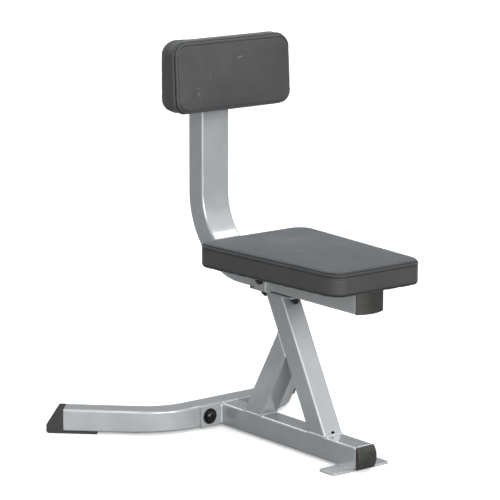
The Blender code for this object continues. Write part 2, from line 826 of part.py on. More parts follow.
# Saddle: one cross bolt, head on the sitter's right
cross_bolt = button_bolt("cross_bolt", M10_R, 102.0, 11.0, 6.2, 6.2)
cross_washer = washer("cross_washer", 15.0, 5.3, WIDE_T)
reach = saddle_out + GAP
place("saddle_washer_right", cross_washer, (-reach, CROSS_BOLT_Y, BEAM_ZC), facing(-X))
place("saddle_washer_left", cross_washer, (reach, CROSS_BOLT_Y, BEAM_ZC), facing(X))
place("saddle_cross_bolt", cross_bolt, (-reach - WIDE_T - GAP, CROSS_BOLT_Y, BEAM_ZC), facing(-X))
place("saddle_nut", nut, (reach + WIDE_T + GAP, CROSS_BOLT_Y, BEAM_ZC), facing(X))

# Seat: flat-head bolts from the board down through the beam and the top plate
head_under = seat_board_top - 2.9
plate_under = TOP_PLATE_Z[0]
thin_t = 1.6
seat_bolt = flat_bolt("seat_bolt", M10_R, head_under - (TOP_PLATE_Z[0] - 15.9), 13.0, 2.6)
seat_washer = washer("seat_washer", 10.3, 5.3, thin_t)
for where, y in zip(("front", "rear"), SEAT_BOLT_Y):
    place("seat_bolt_" + where, seat_bolt, (0, y, head_under), facing(Z))
    place("seat_washer_" + where, seat_washer, (0, y, plate_under - GAP), facing(-Z))
    place("seat_nut_" + where, nut, (0, y, plate_under - 2 * GAP - thin_t), facing(-Z))

# Near the seat's front: a screw from below the beam into a tee nut
small_washer = washer("small_washer", 9.0, 4.3, thin_t)
small_tee = tee_nut("tee_nut_m8", 11.0, 1.5, 5.3, 4.15, 10.0)
beam_under = BEAM_ZC - BEAM_H / 2
under_head = beam_under - 2 * GAP - thin_t
seat_screw = button_bolt("seat_screw", M8_R, seat_board_top - 2.6 - under_head, 7.0, 4.4, 5.0)
place("seat_screw", seat_screw, (0, SEAT_SCREW_Y, under_head), facing(-Z))
place("seat_screw_washer", small_washer, (0, SEAT_SCREW_Y, beam_under - GAP), facing(-Z))
place("seat_tee_nut", small_tee, (0, SEAT_SCREW_Y, seat_board_top - 1.9), facing(Z))

# Back pad: two screws from behind the upright into tee nuts
upright_rear = BEND_Y + BEND_R + BEAM_H / 2
behind = upright_rear + 2 * GAP + thin_t
back_screw = button_bolt("back_screw", M8_R, behind - (back_board_front + 2.6), 7.0, 4.4, 5.0)
for where, z in zip(("lower", "upper"), BACK_SCREW_Z):
    place("back_screw_" + where, back_screw, (0, behind, z), facing(Y))
    place("back_screw_washer_" + where, small_washer, (0, upright_rear + GAP, z), facing(Y))
    place("back_tee_nut_" + where, small_tee, (0, back_board_front + 1.9, z), facing(-Y))

bpy.context.view_layer.update()
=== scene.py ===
"""Looks of the gym utility stool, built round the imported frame.

Lengths are in millimetres and turn into metres as each mesh is made. Positions along Y are measured
from the datum near the middle of the legs, OFFSET_Y in front of the frame's origin.
"""

import math

import bmesh
import bpy
import numpy as np
from mathutils import Matrix, Vector
from mathutils.kdtree import KDTree


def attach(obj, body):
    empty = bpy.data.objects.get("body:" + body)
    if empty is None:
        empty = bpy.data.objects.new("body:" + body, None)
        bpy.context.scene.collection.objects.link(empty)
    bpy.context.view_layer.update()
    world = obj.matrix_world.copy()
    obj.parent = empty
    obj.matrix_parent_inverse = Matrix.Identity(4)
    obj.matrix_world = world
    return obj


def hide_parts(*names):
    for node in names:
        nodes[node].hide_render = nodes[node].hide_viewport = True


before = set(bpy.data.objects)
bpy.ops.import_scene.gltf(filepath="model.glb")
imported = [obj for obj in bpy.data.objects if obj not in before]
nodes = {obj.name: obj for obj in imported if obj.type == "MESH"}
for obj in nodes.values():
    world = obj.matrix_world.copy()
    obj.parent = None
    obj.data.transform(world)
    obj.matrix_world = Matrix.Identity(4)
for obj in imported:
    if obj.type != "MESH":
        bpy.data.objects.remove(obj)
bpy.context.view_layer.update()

MM = 0.001
GAP = 0.3
OFFSET_Y = 59.01
X, Y, Z = Vector((1, 0, 0)), Vector((0, 1, 0)), Vector((0, 0, 1))

TUBE, WALL, CORNER = 50.8, 2.5, 5.0
FOOT_PLATE_T, FOOT_PLATE_HALF, FOOT_PLATE_Y = 5.2, 78.5, (-258.5, -207.5)
BASE_Z0 = FOOT_PLATE_T + GAP
BASE_ZC = BASE_Z0 + TUBE / 2
BASE_Z1 = BASE_Z0 + TUBE
BASE_Y = (-266.6, 196.7)
LEG_Z0, LEG_Z1 = BASE_Z1 + GAP, 338.8
FRONT_LEG_Y = (-136.7, 12.2)
REAR_LEG_Y0, REAR_LEG_SLOPE = 87.2, -0.581
DRAIN_R, DRAIN_Z = 4.4, 61.2
TOP_PLATE_Z, TOP_PLATE_Y = (339.1, 344.9), (-49.0, 97.0)
SADDLE_Y, SADDLE_T, SADDLE_TOP = (21.5, 61.5), 3.0, 398.2
BEAM_W, BEAM_H, BEAM_ZC, BEAM_Y0 = 76.2, 50.8, 374.3, -276.0
BEND_Y, BEND_R, UPRIGHT_TOP = 120.2, 156.0, 856.0
REAR_PLATE_Y, REAR_PLATE_HALF = (197.0, 203.4), 82.0
STAB_Y = REAR_PLATE_Y[1] + GAP + TUBE / 2
STAB_HALF_STRAIGHT, STAB_BEND_R, STAB_BEND, STAB_ARM = 95.9, 155.0, math.radians(44), 165.3
STAB_BOLT_X, STAB_BOLT_Z = 59.0, 30.5
FOOT_TOP_REACH, FOOT_REACH, FOOT_SHOULDER_Z, FOOT_TONGUE = 16.0, 38.6, 20.0, 76.0
SEAT_REAR_HALF, SEAT_FRONT_HALF, SEAT_Y = 154.0, 121.5, (-313.9, 127.7)
SEAT_Z0, SEAT_R, BOARD_T = BEAM_ZC + BEAM_H / 2 + 1.2, 38.0, 16.0
BACK_HALF, BACK_Z, BACK_R = 160.5, (725.5, 883.0), 30.5
BACK_Y0 = BEND_Y + BEND_R - BEAM_H / 2 - GAP
BACK_ZC = sum(BACK_Z) / 2
BACK_LEAN = 0.063
SEAT_BOLT_Y, CROSS_BOLT_Y, SEAT_SCREW_Y, BACK_SCREW_Z = (-32.6, 71.1), 41.4, -221.2, (775.0, 834.0)


# --- materials ---------------------------------------------------------------------------------


class Nodes:
    """A material's node tree, with short calls for the nodes that its patterns use."""

    def __init__(self, name):
        self.mat = bpy.data.materials.new(name)
        self.mat.use_nodes = True
        self.tree = self.mat.node_tree
        self.shader = self.tree.nodes["Principled BSDF"]
        self.where = self.add("ShaderNodeTexCoord").outputs["Object"]

    def add(self, kind, **values):
        node = self.tree.nodes.new(kind)
        for key, value in values.items():
            setattr(node, key, value)
        return node

    def join(self, source, target):
        self.tree.links.new(source, target)

    def put(self, node, name, value):
        socket = node.inputs[name]
        if isinstance(value, bpy.types.NodeSocket):
            self.join(value, socket)
        elif isinstance(value, (tuple, list)) and len(value) == 3 and len(socket.default_value) == 4:
            socket.default_value = (*value, 1.0)
        else:
            socket.default_value = value

    def set(self, **values):
        for name, value in values.items():
            self.put(self.shader, name.replace("_", " "), value)

    def moved(self, scale=(1, 1, 1), location=(0, 0, 0), rotation=(0, 0, 0)):
        node = self.add("ShaderNodeMapping")
        self.join(self.where, node.inputs["Vector"])
        node.inputs["Scale"].default_value = scale
        node.inputs["Location"].default_value = location
        node.inputs["Rotation"].default_value = rotation
        return node.outputs["Vector"]

    def noise(self, scale, detail=3.0, rough=0.5, vector=None, distortion=0.0):
        node = self.add("ShaderNodeTexNoise")
        self.join(vector or self.where, node.inputs["Vector"])
        self.put(node, "Scale", scale)
        self.put(node, "Detail", detail)
        self.put(node, "Roughness", rough)
        self.put(node, "Distortion", distortion)
        return node.outputs["Fac"]

    def cells(self, scale, feature="F1", output="Distance", vector=None):
        node = self.add("ShaderNodeTexVoronoi", feature=feature)
        self.join(vector or self.where, node.inputs["Vector"])
        self.put(node, "Scale", scale)
        return node.outputs[output]

    def span(self, value, low, high, to_low=0.0, to_high=1.0, smooth=False):
        node = self.add("ShaderNodeMapRange", interpolation_type="SMOOTHSTEP" if smooth else "LINEAR")
        self.put(node, "Value", value)
        self.put(node, "From Min", low)
        self.put(node, "From Max", high)
        self.put(node, "To Min", to_low)
        self.put(node, "To Max", to_high)
        return node.outputs["Result"]

    def math(self, operation, a, b=0.0, clamp=False):
        node = self.add("ShaderNodeMath", operation=operation, use_clamp=clamp)
        for socket, value in zip(node.inputs, (a, b)):
            if isinstance(value, bpy.types.NodeSocket):
                self.join(value, socket)
            else:
                socket.default_value = value
        return node.outputs[0]

    def mix(self, factor, a, b):
        node = self.add("ShaderNodeMix", data_type="RGBA")
        for socket, value in ((node.inputs[0], factor), (node.inputs[6], a), (node.inputs[7], b)):
            if isinstance(value, bpy.types.NodeSocket):
                self.join(value, socket)
            elif isinstance(value, (tuple, list)):
                socket.default_value = (*value, 1.0)
            else:
                socket.default_value = value
        return node.outputs[2]

    def bump(self, height, strength, distance, before=None):
        node = self.add("ShaderNodeBump")
        self.put(node, "Height", height)
        self.put(node, "Strength", strength)
        self.put(node, "Distance", distance)
        if before:
            self.join(before, node.inputs["Normal"])
        return node.outputs["Normal"]

    def near(self, centre, size):
        """1 at a point and 0 beyond an ellipsoid of that half size round it, in metres."""
        vector = self.moved(
            scale=tuple(1 / s for s in size), location=tuple(-c / s for c, s in zip(centre, size))
        )
        node = self.add("ShaderNodeVectorMath", operation="LENGTH")
        self.join(vector, node.inputs[0])
        return self.span(node.outputs["Value"], 0.0, 1.0, 1.0, 0.0, smooth=True)


def silver_paint(name="silver_paint", scuffed=False, painted_joint_shade=None, painted_edge_highlight=None):
    """Silver paint; the joint-shade heights, if given, bound a band of painted shade along the joint under the beam.

    The edge place, if given, is a cut edge across Y along which a painted highlight lightens the paint.
    """
    n = Nodes(name)
    cloud = n.noise(26, 4, 0.55)
    fine = n.noise(420, 2, 0.6)
    flake = n.cells(2600, output="Color")
    grey = n.add("ShaderNodeRGBToBW")
    n.join(flake, grey.inputs[0])
    base = n.mix(n.span(cloud, 0.3, 0.7), (0.405, 0.425, 0.44), (0.445, 0.465, 0.48))
    base = n.mix(n.math("MULTIPLY", n.span(grey.outputs[0], 0.55, 0.95), 0.22), base, (0.64, 0.66, 0.68))
    dust = n.span(n.noise(95, 5, 0.7), 0.60, 0.80, 0.0, 0.16)
    base = n.mix(dust, base, (0.60, 0.61, 0.61))
    if scuffed:
        worn = n.span(n.noise(170, 6, 0.8), 0.40, 0.62, 0.2, 0.85)
        base = n.mix(worn, base, (0.70, 0.71, 0.71))
    # Painted highlight: everything up to about 2 mm behind the given cut edge is lightened nearly to white, standing in
    # for the edge catching the light.
    if painted_edge_highlight is not None:
        place = n.add("ShaderNodeSeparateXYZ")
        n.join(n.where, place.inputs[0])
        edge = (painted_edge_highlight - OFFSET_Y) * MM
        edge_highlight = n.span(place.outputs["Y"], edge + 0.0014, edge + 0.0022, 1.0, 0.0)
        base = n.mix(n.math("MULTIPLY", edge_highlight, n.span(n.noise(130, 4, 0.7), 0.3, 0.6, 0.75, 1.0)), base, (0.92, 0.92, 0.91))
    # Painted shade: where the beam sits on the top plate, a band between the given heights, before and behind the
    # saddle, is darkened nearly to black.
    if painted_joint_shade:
        place = n.add("ShaderNodeSeparateXYZ")
        n.join(n.where, place.inputs[0])
        low, high = (v * MM for v in painted_joint_shade)
        y0, y1, y2, y3 = ((v - OFFSET_Y) * MM for v in (TOP_PLATE_Y[0], SADDLE_Y[0], SADDLE_Y[1], TOP_PLATE_Y[1]))
        band = n.math("MULTIPLY", n.span(place.outputs["Z"], low - 0.0005, low, 0.0, 1.0), n.span(place.outputs["Z"], high, high + 0.0005, 1.0, 0.0))
        front = n.math("MULTIPLY", n.span(place.outputs["Y"], y0 - 0.001, y0, 0.0, 1.0), n.span(place.outputs["Y"], y1 - 0.001, y1, 1.0, 0.0))
        rear = n.math("MULTIPLY", n.span(place.outputs["Y"], y2, y2 + 0.001, 0.0, 1.0), n.span(place.outputs["Y"], y3, y3 + 0.001, 1.0, 0.0))
        band = n.math("MULTIPLY", band, n.math("ADD", front, rear))
        base = n.mix(n.math("MULTIPLY", band, n.span(n.noise(150, 4, 0.7), 0.3, 0.6, 0.82, 0.97)), base, (0.022, 0.021, 0.020))
    n.set(Base_Color=base, Metallic=0.4)
    n.set(Roughness=n.span(n.math("ADD", cloud, n.math("MULTIPLY", fine, 0.5)), 0.45, 1.1, 0.29, 0.40))
    n.set(Coat_Weight=1.0)
    n.shader.inputs["Coat Roughness"].default_value = 0.12
    peel = n.bump(n.noise(260, 2, 0.5), 0.16, 0.0006)
    n.set(Normal=n.bump(n.noise(1400, 1, 0.5), 0.10, 0.0002, peel))
    return n.mat


def weld_paint():
    """The same paint where it has run over a weld bead: smoother and a little lighter."""
    n = Nodes("silver_paint_weld")
    cloud = n.noise(60, 3, 0.5)
    base = n.mix(n.span(cloud, 0.3, 0.7), (0.52, 0.53, 0.54), (0.60, 0.61, 0.62))
    n.set(Base_Color=base, Metallic=0.4)
    n.set(Roughness=n.span(cloud, 0.3, 0.7, 0.28, 0.4), Coat_Weight=1.0)
    n.shader.inputs["Coat Roughness"].default_value = 0.12
    n.set(Normal=n.bump(n.noise(520, 3, 0.6), 0.35, 0.0006))
    return n.mat


def black_plastic():
    n = Nodes("black_plastic")
    cloud = n.noise(55, 4, 0.6)
    base = n.mix(n.span(cloud, 0.3, 0.7), (0.026, 0.025, 0.023), (0.040, 0.038, 0.035))
    scuff = n.span(n.noise(70, 6, 0.75, n.moved(scale=(1, 1, 3.5))), 0.62, 0.78, 0.0, 0.35)
    base = n.mix(scuff, base, (0.13, 0.128, 0.122))
    n.set(Base_Color=base, Roughness=n.span(cloud, 0.3, 0.7, 0.36, 0.5))
    grain = n.bump(n.noise(900, 3, 0.6), 0.30, 0.0003)
    n.set(Normal=n.bump(cloud, 0.15, 0.001, grain))
    return n.mat


def black_rubber():
    n = Nodes("black_rubber")
    cloud = n.noise(48, 4, 0.6)
    base = n.mix(n.span(cloud, 0.3, 0.7), (0.022, 0.0214, 0.020), (0.033, 0.0317, 0.0297))
    chalk = n.span(n.noise(120, 6, 0.75), 0.60, 0.82, 0.0, 0.3)
    base = n.mix(chalk, base, (0.09, 0.0885, 0.084))
    n.set(Base_Color=base, Roughness=n.span(cloud, 0.3, 0.7, 0.5, 0.66))
    n.set(Normal=n.bump(n.noise(700, 4, 0.7), 0.45, 0.0004))
    return n.mat


def black_steel():
    n = Nodes("black_steel")
    cloud = n.noise(180, 4, 0.6)
    base = n.mix(n.span(cloud, 0.35, 0.7), (0.008, 0.008, 0.008), (0.020, 0.0196, 0.019))
    rubbed = n.span(n.noise(420, 5, 0.7), 0.66, 0.8, 0.0, 0.5)
    base = n.mix(rubbed, base, (0.12, 0.116, 0.112))
    n.set(Base_Color=base, Metallic=0.55, Roughness=n.span(cloud, 0.3, 0.7, 0.20, 0.34), Coat_Weight=0.2)
    n.shader.inputs["Coat Roughness"].default_value = 0.05
    n.set(Normal=n.bump(n.noise(1500, 2, 0.5), 0.15, 0.0002))
    return n.mat


def tube_inside():
    """The unpainted inside of a tube and the wall of its drain hole: near-black, partly the mill-black steel's own
    colour, partly painted shade that makes the hole read dark.
    """
    n = Nodes("tube_inside")
    cloud = n.noise(60, 4, 0.6)
    n.set(Base_Color=n.mix(n.span(cloud, 0.3, 0.7), (0.012, 0.012, 0.012), (0.025, 0.024, 0.023)))
    n.set(Metallic=0.3, Roughness=n.span(cloud, 0.3, 0.7, 0.6, 0.8))
    n.set(Normal=n.bump(cloud, 0.2, 0.0005))
    return n.mat


def zinc_steel():
    n = Nodes("zinc_steel")
    cloud = n.noise(220, 4, 0.6)
    base = n.mix(n.span(cloud, 0.3, 0.7), (0.50, 0.50, 0.48), (0.66, 0.65, 0.60))
    n.set(Base_Color=base, Metallic=1.0, Roughness=n.span(cloud, 0.3, 0.7, 0.26, 0.42))
    n.set(Normal=n.bump(n.noise(1300, 2, 0.5), 0.15, 0.0002))
    return n.mat


def nylon():
    n = Nodes("nylon_ring")
    cloud = n.noise(300, 3, 0.5)
    n.set(Base_Color=n.mix(cloud, (0.05, 0.05, 0.055), (0.09, 0.09, 0.1)), Roughness=n.span(cloud, 0.3, 0.7, 0.4, 0.55))
    n.set(Normal=n.bump(cloud, 0.2, 0.0003))
    return n.mat


def plywood():
    n = Nodes("plywood")
    along = n.moved(scale=(1, 0.08, 1))
    streak = n.noise(95, 6, 0.65, along, 0.6)
    ring = n.add("ShaderNodeTexWave", wave_type="BANDS", bands_direction="X")
    n.join(n.moved(scale=(1, 0.12, 1)), ring.inputs["Vector"])
    n.put(ring, "Scale", 9.0)
    n.put(ring, "Distortion", 7.0)
    n.put(ring, "Detail", 3.0)
    n.put(ring, "Detail Scale", 1.2)
    base = n.mix(n.span(streak, 0.3, 0.75), (0.50, 0.36, 0.21), (0.66, 0.52, 0.34))
    base = n.mix(n.math("MULTIPLY", ring.outputs["Fac"], 0.35), base, (0.40, 0.27, 0.15))
    n.set(Base_Color=base, Roughness=n.span(streak, 0.3, 0.7, 0.62, 0.8))
    n.set(Normal=n.bump(streak, 0.35, 0.0005))
    return n.mat


def foam_yellow():
    n = Nodes("foam")
    cells = n.cells(700)
    n.set(Base_Color=n.mix(cells, (0.78, 0.74, 0.52), (0.62, 0.57, 0.38)), Roughness=n.span(cells, 0.0, 0.6, 0.8, 0.95))
    n.set(Normal=n.bump(cells, 0.5, 0.001))
    return n.mat


def charcoal_vinyl(name, marks, rubbed, gloss=0.5):
    """Upholstery vinyl: a fine pebbled grain, cloudy colour, soft rubbed patches and a few light marks."""
    n = Nodes(name)
    warp = n.add("ShaderNodeVectorMath", operation="MULTIPLY_ADD")
    wobble = n.add("ShaderNodeTexNoise")
    n.join(n.where, wobble.inputs["Vector"])
    n.put(wobble, "Scale", 240.0)
    n.join(wobble.outputs["Color"], warp.inputs[0])
    warp.inputs[1].default_value = (0.0011, 0.0011, 0.0011)
    n.join(n.where, warp.inputs[2])
    grain = n.cells(780, "DISTANCE_TO_EDGE", vector=warp.outputs[0])
    pebble = n.span(grain, 0.0, 0.22, 0.0, 1.0, smooth=True)
    cloud = n.noise(11, 4, 0.55)
    patch = n.noise(38, 5, 0.62)
    base = n.mix(n.span(cloud, 0.32, 0.68), (0.047, 0.0476, 0.048), (0.059, 0.0598, 0.0604))
    base = n.mix(n.math("MULTIPLY", n.span(patch, 0.5, 0.75), 0.30), base, (0.074, 0.0750, 0.0758))
    base = n.mix(n.span(pebble, 0.0, 1.0, 0.22, 0.0), base, (0.034, 0.034, 0.035))
    for centre, size, strength in rubbed:
        smear = n.math("MULTIPLY", n.near(centre, size), n.span(n.noise(60, 6, 0.7), 0.35, 0.7))
        base = n.mix(n.math("MULTIPLY", smear, strength), base, (0.17, 0.168, 0.165))
    for centre, size, strength in marks:
        speck = n.math("MULTIPLY", n.near(centre, size), n.span(n.noise(500, 3, 0.6), 0.35, 0.6))
        base = n.mix(n.math("MULTIPLY", speck, strength, clamp=True), base, (0.26, 0.26, 0.256))
    # The seam attribute holds painted shade: it darkens the vinyl almost to black in the seams' grooves and along the
    # pads' lower edges.
    seam = n.add("ShaderNodeAttribute", attribute_name="seam").outputs["Fac"]
    base = n.mix(n.math("MULTIPLY", seam, 1.0, clamp=True), base, (0.004, 0.004, 0.004))
    n.set(Base_Color=base)
    n.set(Roughness=n.span(n.math("ADD", patch, n.math("MULTIPLY", pebble, -0.25)), 0.1, 0.7, 0.44, 0.58))
    n.shader.inputs["Specular IOR Level"].default_value = gloss
    n.shader.inputs["Sheen Weight"].default_value = 0.25
    n.shader.inputs["Sheen Roughness"].default_value = 0.35
    n.shader.inputs["Sheen Tint"].default_value = (0.84, 0.93, 1.0, 1.0)
    soft = n.bump(n.noise(20, 3, 0.5), 0.25, 0.003)
    fibre = n.bump(n.noise(95, 3, 0.5), 0.18, 0.0012, soft)
    n.set(Normal=n.bump(pebble, 0.40, 0.00022, fibre))
    return n.mat


SILVER = silver_paint()
SCUFFED = silver_paint("silver_paint_scuffed", scuffed=True)
# The plate's and the beam's paint carry painted shade along the joint between them.
PLATE_SILVER = silver_paint("silver_paint_plate", painted_joint_shade=(342.4, 346.0))
BEAM_SILVER = silver_paint("silver_paint_beam", painted_joint_shade=(347.0, 350.3))
# The bracket's paint carries a painted highlight along its front edge.
BRACKET_SILVER = silver_paint("silver_paint_bracket", painted_edge_highlight=SADDLE_Y[0])
BARE_AND_SHADE = tube_inside()
WELD = weld_paint()
PLASTIC = black_plastic()
RUBBER = black_rubber()
STEEL = black_steel()
ZINC = zinc_steel()
NYLON = nylon()
PLY = plywood()
FOAM = foam_yellow()
SEAT_VINYL = charcoal_vinyl(
    "charcoal_vinyl_seat",
    marks=[],
    rubbed=[((0.018, -0.05, 0.457), (0.090, 0.080, 0.05), 0.6), ((-0.05, -0.17, 0.457), (0.09, 0.12, 0.05), 0.16)],
    gloss=0.36,
)
BACK_VINYL = charcoal_vinyl(
    "charcoal_vinyl_back",
    marks=[
        ((0.009, 0.118, 0.8395), (0.0055, 0.02, 0.0022), 0.8),
        ((0.0145, 0.118, 0.8408), (0.0055, 0.02, 0.0022), 1.1),
        ((0.020, 0.118, 0.8421), (0.0045, 0.02, 0.0020), 0.9),
        ((-0.104, 0.118, 0.769), (0.0045, 0.02, 0.0045), 0.55),
        ((-0.101, 0.118, 0.7645), (0.003, 0.02, 0.003), 0.6),
        ((-0.082, 0.118, 0.763), (0.003, 0.02, 0.003), 0.6),
        ((-0.104, 0.118, 0.781), (0.0022, 0.02, 0.0022), 1.0),
        ((-0.070, 0.118, 0.803), (0.003, 0.02, 0.003), 0.6),
    ],
    rubbed=[((-0.02, 0.118, 0.82), (0.11, 0.06, 0.045), 0.12)],
)


# --- outlines and meshes -----------------------------------------------------------------------


def rounded(corners, radii, steps, along=0.0):
    """A closed outline through these corners, each rounded in this many steps, with its straight
    runs cut into lengths of about `along` if that is given."""
    arcs = []
    count = len(corners)
    for i, corner in enumerate(corners):
        here = Vector(corner)
        before = (Vector(corners[i - 1]) - here).normalized()
        after = (Vector(corners[(i + 1) % count]) - here).normalized()
        r = radii[i] if hasattr(radii, "__len__") else radii
        if r <= 0:
            arcs.append([here])
            continue
        half = before.angle(after) / 2
        centre = here + (before + after).normalized() * (r / math.sin(half))
        first = here + before * (r / math.tan(half)) - centre
        last = here + after * (r / math.tan(half)) - centre
        sweep = first.angle(last)
        arcs.append(
            [
                centre
                + (first * math.sin((1 - k / steps) * sweep) + last * math.sin(k / steps * sweep)) / math.sin(sweep)
                for k in range(steps + 1)
            ]
        )
    points = []
    for i, run in enumerate(arcs):
        points += run
        if along:
            a, b = run[-1], arcs[(i + 1) % count][0]
            cuts = max(1, round((Vector(corners[(i + 1) % count]) - Vector(corners[i])).length / along))
            points += [a.lerp(b, k / cuts) for k in range(1, cuts)]
    return points


def box_outline(width, height, r, steps=6):
    w, h = width / 2, height / 2
    return rounded([(w, -h), (w, h), (-w, h), (-w, -h)], r, steps)


def circle(r, count=48):
    return [Vector((r * math.cos(2 * math.pi * k / count), r * math.sin(2 * math.pi * k / count))) for k in range(count)]


def hexagon(across_flats, most=None, count=48):
    points = []
    for k in range(count):
        angle = 2 * math.pi * k / count
        off_flat = (angle - math.pi / 2 + math.pi / 6) % (math.pi / 3) - math.pi / 6
        r = across_flats / 2 / math.cos(off_flat)
        r = min(r, most) if most else r
        points.append(Vector((r * math.cos(angle), r * math.sin(angle))))
    return points


def skin(rings, ring_closed=False):
    bm = bmesh.new()
    made = [[bm.verts.new(Vector(p)) for p in ring] for ring in rings]
    pairs = list(zip(made, made[1:]))
    if ring_closed:
        pairs.append((made[-1], made[0]))
    else:
        bm.faces.new(made[0])
        bm.faces.new(made[-1])
    for a, b in pairs:
        for i in range(len(a)):
            j = (i + 1) % len(a)
            bm.faces.new((a[i], a[j], b[j], b[i]))
    return bm


def ease_edges(bm, width, steps=3, angle=50):
    bmesh.ops.recalc_face_normals(bm, faces=bm.faces[:])
    edges = [e for e in bm.edges if len(e.link_faces) == 2 and e.is_convex and e.calc_face_angle() > math.radians(angle)]
    bmesh.ops.bevel(bm, geom=edges, offset=width, segments=steps, profile=0.5, affect="EDGES", clamp_overlap=True)


def to_frame(bm):
    """From millimetres about the datum to metres about the frame's origin."""
    for v in bm.verts:
        v.co = Vector((v.co.x, v.co.y - OFFSET_Y, v.co.z)) * MM


def drill(bm, holes, count=32):
    """Cuts round holes (centre, axis, radius, length) from a mesh in millimetres and returns the new one."""
    solid = bpy.data.meshes.new("solid")
    bmesh.ops.recalc_face_normals(bm, faces=bm.faces[:])
    bm.to_mesh(solid)
    bm.free()
    obj = bpy.data.objects.new("solid", solid)
    bpy.context.scene.collection.objects.link(obj)
    cutters = []
    for centre, axis, r, length in holes:
        cut = bmesh.new()
        turn = Z.rotation_difference(Vector(axis)).to_matrix().to_4x4()
        bmesh.ops.create_cone(
            cut, cap_ends=True, segments=count, radius1=r, radius2=r, depth=length,
            matrix=Matrix.Translation(Vector(centre)) @ turn,
        )
        mesh = bpy.data.meshes.new("cut")
        cut.to_mesh(mesh)
        cut.free()
        cutter = bpy.data.objects.new("cut", mesh)
        bpy.context.scene.collection.objects.link(cutter)
        mod = obj.modifiers.new("cut", "BOOLEAN")
        mod.operation, mod.solver, mod.object = "DIFFERENCE", "EXACT", cutter
        cutters.append(cutter)
    bpy.context.view_layer.update()
    evaluated = obj.evaluated_get(bpy.context.evaluated_depsgraph_get())
    result = bmesh.new()
    result.from_mesh(evaluated.to_mesh())
    evaluated.to_mesh_clear()
    for other in [obj, *cutters]:
        mesh = other.data
        bpy.data.objects.remove(other, do_unlink=True)
        bpy.data.meshes.remove(mesh)
    return result


def show(name, bm, mat, slot, *replaced, sharp=38, flat_faces=True):
    """Finishes a mesh in millimetres as a shown piece that stands for these CAD nodes."""
    to_frame(bm)
    bmesh.ops.recalc_face_normals(bm, faces=bm.faces[:])
    mesh = bpy.data.meshes.new(name)
    bm.to_mesh(mesh)
    bm.free()
    for m in mat if isinstance(mat, list) else [mat]:
        mesh.materials.append(m)
    mesh.shade_smooth()
    if sharp:
        mesh.set_sharp_from_angle(angle=math.radians(sharp))
    obj = bpy.data.objects.new(name, mesh)
    bpy.context.scene.collection.objects.link(obj)
    if flat_faces:
        mod = obj.modifiers.new("normals", "WEIGHTED_NORMAL")
        mod.keep_sharp = True
        mod.weight = 80
    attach(obj, "root")
    if replaced:
        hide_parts(*replaced)
    return obj


def placed(bm, at, axis):
    """Turns a mesh made about +Z to point along axis, and moves it."""
    turn = Z.rotation_difference(Vector(axis)).to_matrix()
    for v in bm.verts:
        v.co = turn @ v.co + Vector(at)
    return bm


def merge(*parts):
    """Several meshes as one, each with its material's number."""
    out = bmesh.new()
    for index, part in enumerate(parts):
        if isinstance(part, tuple):
            part, index = part
        else:
            index = 0
        mesh = bpy.data.meshes.new("part")
        bmesh.ops.recalc_face_normals(part, faces=part.faces[:])
        part.to_mesh(mesh)
        part.free()
        before = len(out.faces)
        out.from_mesh(mesh)
        out.faces.ensure_lookup_table()
        for f in out.faces[before:]:
            f.material_index = index
        bpy.data.meshes.remove(mesh)
    return out


def to_plane(point, direction, on, normal):
    return point + direction * ((on - point).dot(normal) / direction.dot(normal))


def tube(stations, width, height, cut_start=None, cut_end=None, shape=None, ease=0.45):
    """A hollow tube through stations of (centre, across, up). shape moves a section's points, ends are eased."""
    outer = box_outline(width, height, CORNER, 7)
    inner = box_outline(width - 2 * WALL, height - 2 * WALL, CORNER - WALL, 7)
    last = len(stations) - 1

    def section(outline, k, shrink=0.0, back=0.0):
        centre, across, up = stations[k]
        along = across.cross(up)
        cut = cut_start if k == 0 else cut_end if k == last else None
        points = []
        for p in outline:
            q = Vector((p.x, p.y))
            if shape:
                q = shape(k, q)
            if shrink:
                q = Vector((q.x - math.copysign(min(shrink, abs(q.x)), q.x), q.y - math.copysign(min(shrink, abs(q.y)), q.y)))
            point = centre + across * q.x + up * q.y
            if cut:
                point = to_plane(point, along, *cut)
            points.append(point + along * back)
        return points

    sense = 1.0 if (stations[-1][0] - stations[0][0]).dot(stations[0][1].cross(stations[0][2])) > 0 else -1.0
    rings = [section(outer, 0, ease), section(outer, 0, 0, sense * ease)]
    rings += [section(outer, k) for k in range(1, last)]
    rings += [section(outer, last, 0, -sense * ease), section(outer, last, ease)]
    rings += [section(inner, k) for k in range(last, -1, -1)]
    return skin(rings, ring_closed=True)


def slab(outline, across, up, start, end, ease=0.0, steps=3):
    normal = across.cross(up)
    bm = bmesh.new()
    face = bm.faces.new([bm.verts.new(across * p[0] + up * p[1] + normal * start) for p in outline])
    grown = bmesh.ops.extrude_face_region(bm, geom=[face])["geom"]
    moved = [v for v in grown if isinstance(v, bmesh.types.BMVert)]
    bmesh.ops.translate(bm, vec=normal * (end - start), verts=moved)
    if ease:
        ease_edges(bm, ease, steps)
    return bm


def wave(*terms):
    """A fixed sum of sines, for ripples that look uneven and come out the same each time."""
    return lambda t: sum(a * math.sin(f * t + p) for a, f, p in terms)


RIPPLE = wave((0.5, 1.0, 0.3), (0.3, 2.3, 1.1), (0.2, 4.1, 2.2))


